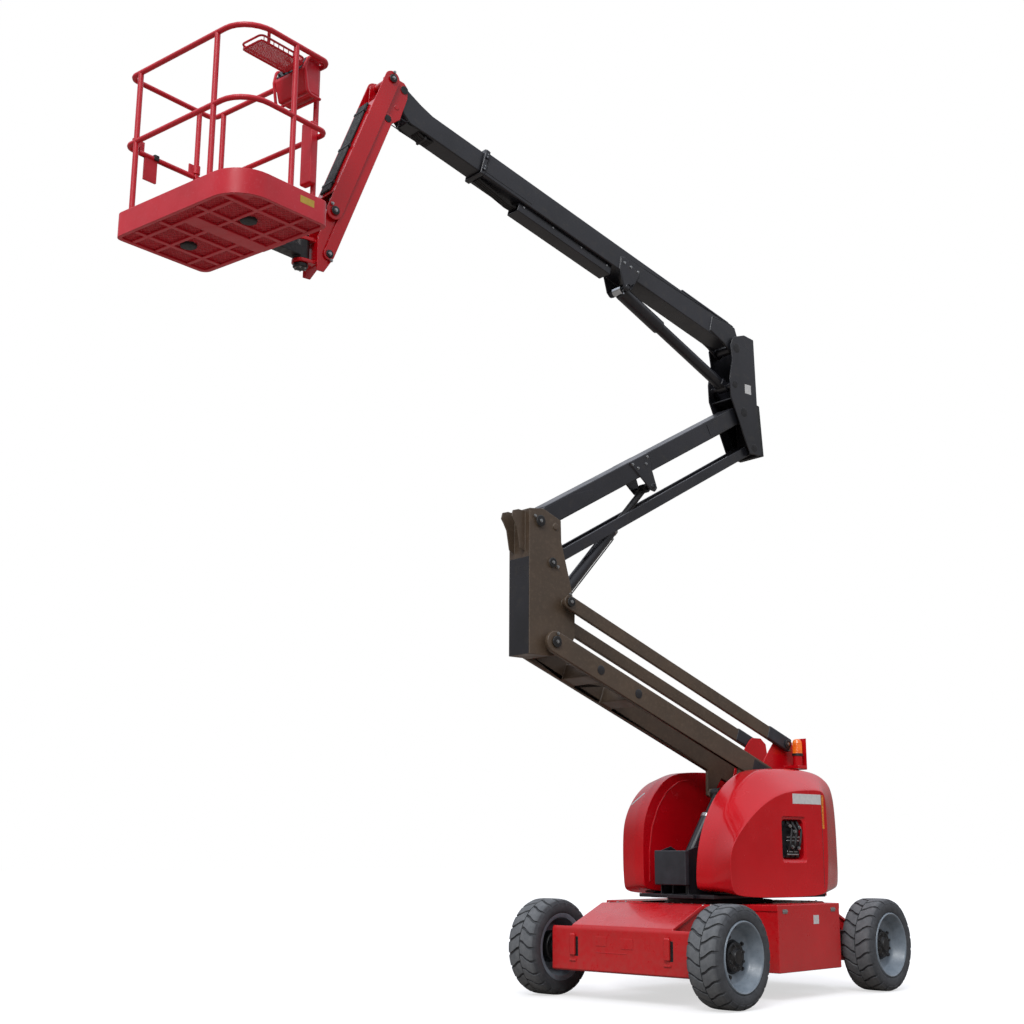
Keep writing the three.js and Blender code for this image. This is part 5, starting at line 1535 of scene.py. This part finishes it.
def basket_floor():
    """The toe board's skirt, its rolled lip, the floor sheet and the ribs and mesh under it."""
    radii = (0.230, 0.060, 0.060, 0.060)
    wall = 0.008
    bm = bmesh.new()

    def bridged(loops, levels):
        """More rings of edges, each [outward shift, height], and the last one filled."""
        for shift, height in levels:
            bends = [max(0.01, r + shift) for r in radii]
            z = FLOOR_BOTTOM + height
            path = corner_path(HALF_DEPTH + shift, HALF_WIDTH + shift, bends, z, 8)
            verts = [bm.verts.new(p) for p in path]
            ring = zip(verts, verts[1:] + verts[:1])
            loops.append([bm.edges.new(pair) for pair in ring])
        for near, far in zip(loops, loops[1:]):
            bmesh.ops.bridge_loops(bm, edges=near + far)
        bmesh.ops.holes_fill(bm, edges=loops[-1], sides=0)
        return loops

    levels = (
        (0.0, 0.002), (0.0, 0.006), (0.0, 0.159), (-0.002, 0.164), (-0.006, 0.165),
        (-wall, 0.161), (-wall, 0.026),
    )
    loops = bridged([], levels)
    under = (
        (-0.003, 0.0004), (-0.015, 0.0012), (-0.027, 0.0026), (-0.030, 0.006), (-0.030, 0.020),
    )
    bridged([loops[0]], under)
    piece(
        "basket_pan", bm, "basket", BASKET_RED, BASKET, ("basket_floor",),
        smooth=40,
    )
    ribs = bmesh.new()
    base = FLOOR_BOTTOM
    for y in (-0.42, -0.18, 0.18, 0.42):
        block(ribs, (-0.335, y - 0.016, base + 0.003), (0.335, y + 0.016, base + 0.021), 0.004)
    for x in (-0.20, 0.06, 0.24):
        block(
            ribs, (x - 0.014, -0.565, base + 0.004),
            (x + 0.014, 0.565 if x < 0.2 else 0.40, base + 0.021), 0.004,
        )
    block(ribs, (-0.372, -0.060, base + 0.001), (0.250, 0.060, base + 0.021), 0.005)
    block(
        ribs, (-0.382, 0.084 - 0.110, base + 0.004), (-0.330, 0.084 + 0.110, base + 0.120),
        0.006, 3,
    )
    on_basket("floor_ribs", ribs)
    mesh = bmesh.new()
    bmesh.ops.create_grid(mesh, x_segments=18, y_segments=30, size=0.5)
    bmesh.ops.scale(mesh, verts=mesh.verts, vec=(0.66, 1.12, 1))
    bmesh.ops.poke(mesh, faces=mesh.faces)
    bmesh.ops.translate(mesh, verts=mesh.verts, vec=(0, 0, base + 0.017))
    straight = []
    for edge in mesh.edges:
        run = edge.verts[0].co - edge.verts[1].co
        if min(abs(run.x), abs(run.y)) < 1e-6 and not edge.is_boundary:
            straight.append(edge)
    bmesh.ops.dissolve_edges(mesh, edges=straight)
    mesh = baked(mesh, ("WIREFRAME", {"thickness": 0.004, "use_replace": True}))
    corner = [v for v in mesh.verts if v.co.x > 0.20 and v.co.y > 0.42]
    bmesh.ops.delete(mesh, geom=corner, context="VERTS")
    on_basket("floor_expanded_mesh", mesh)
    pads = bmesh.new()
    inverse = BASKET.inverted()
    for x, y in ((4.387, -0.321), (4.412, -0.916)):
        spot = inverse @ Vector((x, y, 0))
        turned(
            pads,
            [
                (0, -0.004), (0.045, -0.004), (0.052, 0.000), (0.054, 0.006), (0.054, 0.018),
                (0, 0.018),
            ],
            (spot.x, spot.y, base + 0.0006), (0, 0, 1), 28,
        )
    on_basket("floor_sensor_pads", pads, SHEET)


CONSOLE_BACK = -RAIL_X + RAIL + 0.008
CONSOLE_DEPTH, CONSOLE_WIDTH, CONSOLE_INSET = 0.150, 0.270, 0.056
CONSOLE_Y = (RAIL_Y - CONSOLE_INSET - CONSOLE_WIDTH, RAIL_Y - CONSOLE_INSET)


def console_case():
    y0, y1 = CONSOLE_Y
    outline = [
        (CONSOLE_BACK, TOP_RAIL - 0.230), (CONSOLE_BACK + 0.110, TOP_RAIL - 0.230),
        (CONSOLE_BACK + CONSOLE_DEPTH, TOP_RAIL - 0.090),
        (CONSOLE_BACK + 0.100, TOP_RAIL + 0.026), (CONSOLE_BACK, TOP_RAIL + 0.026),
    ]
    bm = bmesh.new()
    prism(bm, outline, y0, y1, 0.014, 4)
    hook = (
        (-RAIL_X - RAIL, y0 + 0.040, TOP_RAIL + 0.0180),
        (CONSOLE_BACK + 0.02, y1 - 0.040, TOP_RAIL + 0.0255),
    )
    block(bm, *hook, 0.003)
    on_basket("console_case", bm, replaces=("control_console",))
    guard = bmesh.new()
    for y in (y0 - 0.013, y1 + 0.013):
        loop = [
            (-RAIL_X + 0.004, y, TOP_RAIL), (CONSOLE_BACK + 0.118, y, TOP_RAIL + 0.010),
            (CONSOLE_BACK + 0.139, y, TOP_RAIL - 0.090),
            (CONSOLE_BACK + 0.112, y, TOP_RAIL - 0.250),
            (CONSOLE_BACK + 0.004, y, TOP_RAIL - 0.252),
        ]
        bent_tube(guard, loop, 0.010, 0.045, sides=12)
    for x in (CONSOLE_BACK + 0.020, CONSOLE_BACK + 0.095):
        rod(
            guard, (x, y0 - 0.013, TOP_RAIL - 0.251), (x, y1 + 0.013, TOP_RAIL - 0.251), 0.010,
            0.001, 12,
        )
    on_basket("console_guard", guard)


def console_controls():
    """The sloping panel, with its toggles, two levers and the stop button."""
    y0, y1 = CONSOLE_Y
    slope = Vector((-0.050, 0, 0.116)).normalized()
    out = Vector((slope.z, 0, -slope.x)).normalized()
    foot = Vector((CONSOLE_BACK + CONSOLE_DEPTH, 0, TOP_RAIL - 0.090))

    def spot(rise, y):
        return foot + slope * rise + out * 0.004 + Vector((0, y, 0))

    panel, knobs, stop = bmesh.new(), bmesh.new(), bmesh.new()
    corners = [
        foot + slope * r + out * o
        for r, o in ((0.014, -0.003), (0.112, -0.003), (0.112, 0.004), (0.014, 0.004))
    ]
    prism(panel, [(c.x, c.z) for c in corners], y0 + 0.018, y1 - 0.018, 0.002)
    for k in range(5):
        at = spot(0.030, y0 + 0.045 + 0.042 * k)
        rod(knobs, at, at + out * 0.016, 0.008, 0.002, 16)
    stem = [
        (0.019, 0), (0.020, 0.005), (0.013, 0.012), (0.006, 0.016), (0.006, 0.044),
        (0.013, 0.048), (0.015, 0.064), (0.010, 0.070), (0, 0.071),
    ]
    for y in (y0 + 0.070, y0 + 0.150):
        turned(knobs, stem, spot(0.075, y), out, 24)
    button = [
        (0.010, 0), (0.010, 0.014), (0.021, 0.016), (0.021, 0.024), (0.015, 0.029), (0, 0.030),
    ]
    turned(stop, button, spot(0.075, y1 - 0.050), out, 24)
    on_basket("console_panel", panel, COVER)
    on_basket("console_levers", knobs, SHEET)
    on_basket("console_stop_button", stop)


def document_box():
    y1 = CONSOLE_Y[1]
    bm = bmesh.new()
    block(
        bm, (-RAIL_X + 0.012, y1 - 0.110, FLOOR_BOTTOM + 0.30),
        (-RAIL_X + 0.070, y1 - 0.010, MID_RAIL + 0.09), 0.012, 3,
    )
    block(
        bm, (-RAIL_X - 0.006, y1 - 0.090, MID_RAIL - 0.02),
        (-RAIL_X + 0.014, y1 - 0.030, MID_RAIL + 0.03), 0.004,
    )
    on_basket("document_box", bm)


def console():
    console_case()
    console_controls()
    document_box()


def tray():
    z = TOP_RAIL - 0.074
    x0 = CONSOLE_BACK + CONSOLE_DEPTH + 0.006
    x1 = RAIL_X - RAIL_BENDS[0] + 0.060
    y1 = RAIL_Y - RAIL - 0.014
    y0 = y1 - 0.190
    bm = bmesh.new()
    rim = [(x0, y0, z + 0.038), (x1, y0, z + 0.038), (x1, y1, z + 0.038), (x0, y1, z + 0.038)]
    bent_tube(bm, rim, 0.007, 0.035, closed=True, sides=12)
    foot = [
        (x0 + 0.006, y0 + 0.006, z + 0.006), (x1 - 0.006, y0 + 0.006, z + 0.006),
        (x1 - 0.006, y1 - 0.006, z + 0.006), (x0 + 0.006, y1 - 0.006, z + 0.006),
    ]
    bent_tube(bm, foot, 0.006, 0.030, closed=True, sides=12)
    for k in range(9):
        x = x0 + 0.02 + (x1 - x0 - 0.04) * k / 8
        for y in (y0, y1):
            rod(bm, (x, y, z + 0.006), (x, y, z + 0.038), 0.003, 0.0005, 8)
    for x in (x0 + 0.060, x1 - 0.060):
        block(
            bm, (x - 0.012, y1 - 0.005, z + 0.010), (x + 0.012, y1 + 0.001, TOP_RAIL + 0.0230),
            0.002,
        )
        block(
            bm, (x - 0.012, y1 - 0.005, TOP_RAIL + 0.0180),
            (x + 0.012, RAIL_Y, TOP_RAIL + 0.0235), 0.002,
        )
    on_basket("tray_frame", bm, replaces=("tool_tray",))
    mesh = bmesh.new()
    bmesh.ops.create_grid(mesh, x_segments=34, y_segments=16, size=0.5)
    bmesh.ops.scale(mesh, verts=mesh.verts, vec=(x1 - x0 - 0.012, y1 - y0 - 0.012, 1))
    bmesh.ops.translate(mesh, verts=mesh.verts, vec=((x0 + x1) / 2, (y0 + y1) / 2, z + 0.006))
    mesh = baked(mesh, ("WIREFRAME", {"thickness": 0.0072, "use_replace": True}))
    on_basket("tray_mesh", mesh)


def gate():
    dressed("basket_gate", BASKET_RED, 0.002)
    latch = bmesh.new()
    x = GATE[0] - 0.120
    block(
        latch, (x - 0.055, -RAIL_Y - 0.020, MID_RAIL - 0.014),
        (x - 0.015, -RAIL_Y + 0.022, MID_RAIL + 0.026), 0.006, 3,
    )
    piece("gate_latch", latch, "basket_gate", SHEET, BASKET, merged=False)


def basket():
    rails()
    basket_floor()
    console()
    tray()
    gate()
    label = bmesh.new()
    block(
        label, (-0.235, HALF_WIDTH + 0.0002, FLOOR_BOTTOM + 0.080),
        (-0.120, HALF_WIDTH + 0.0008, FLOOR_BOTTOM + 0.126), 0.0001,
    )
    piece("skirt_label", label, "basket", YELLOW_LABEL, BASKET)


chassis()
wheels()
turret()
cylinders()
lower_arm()
upper_arm()
boom()
jib()
basket()

bpy.context.view_layer.update()
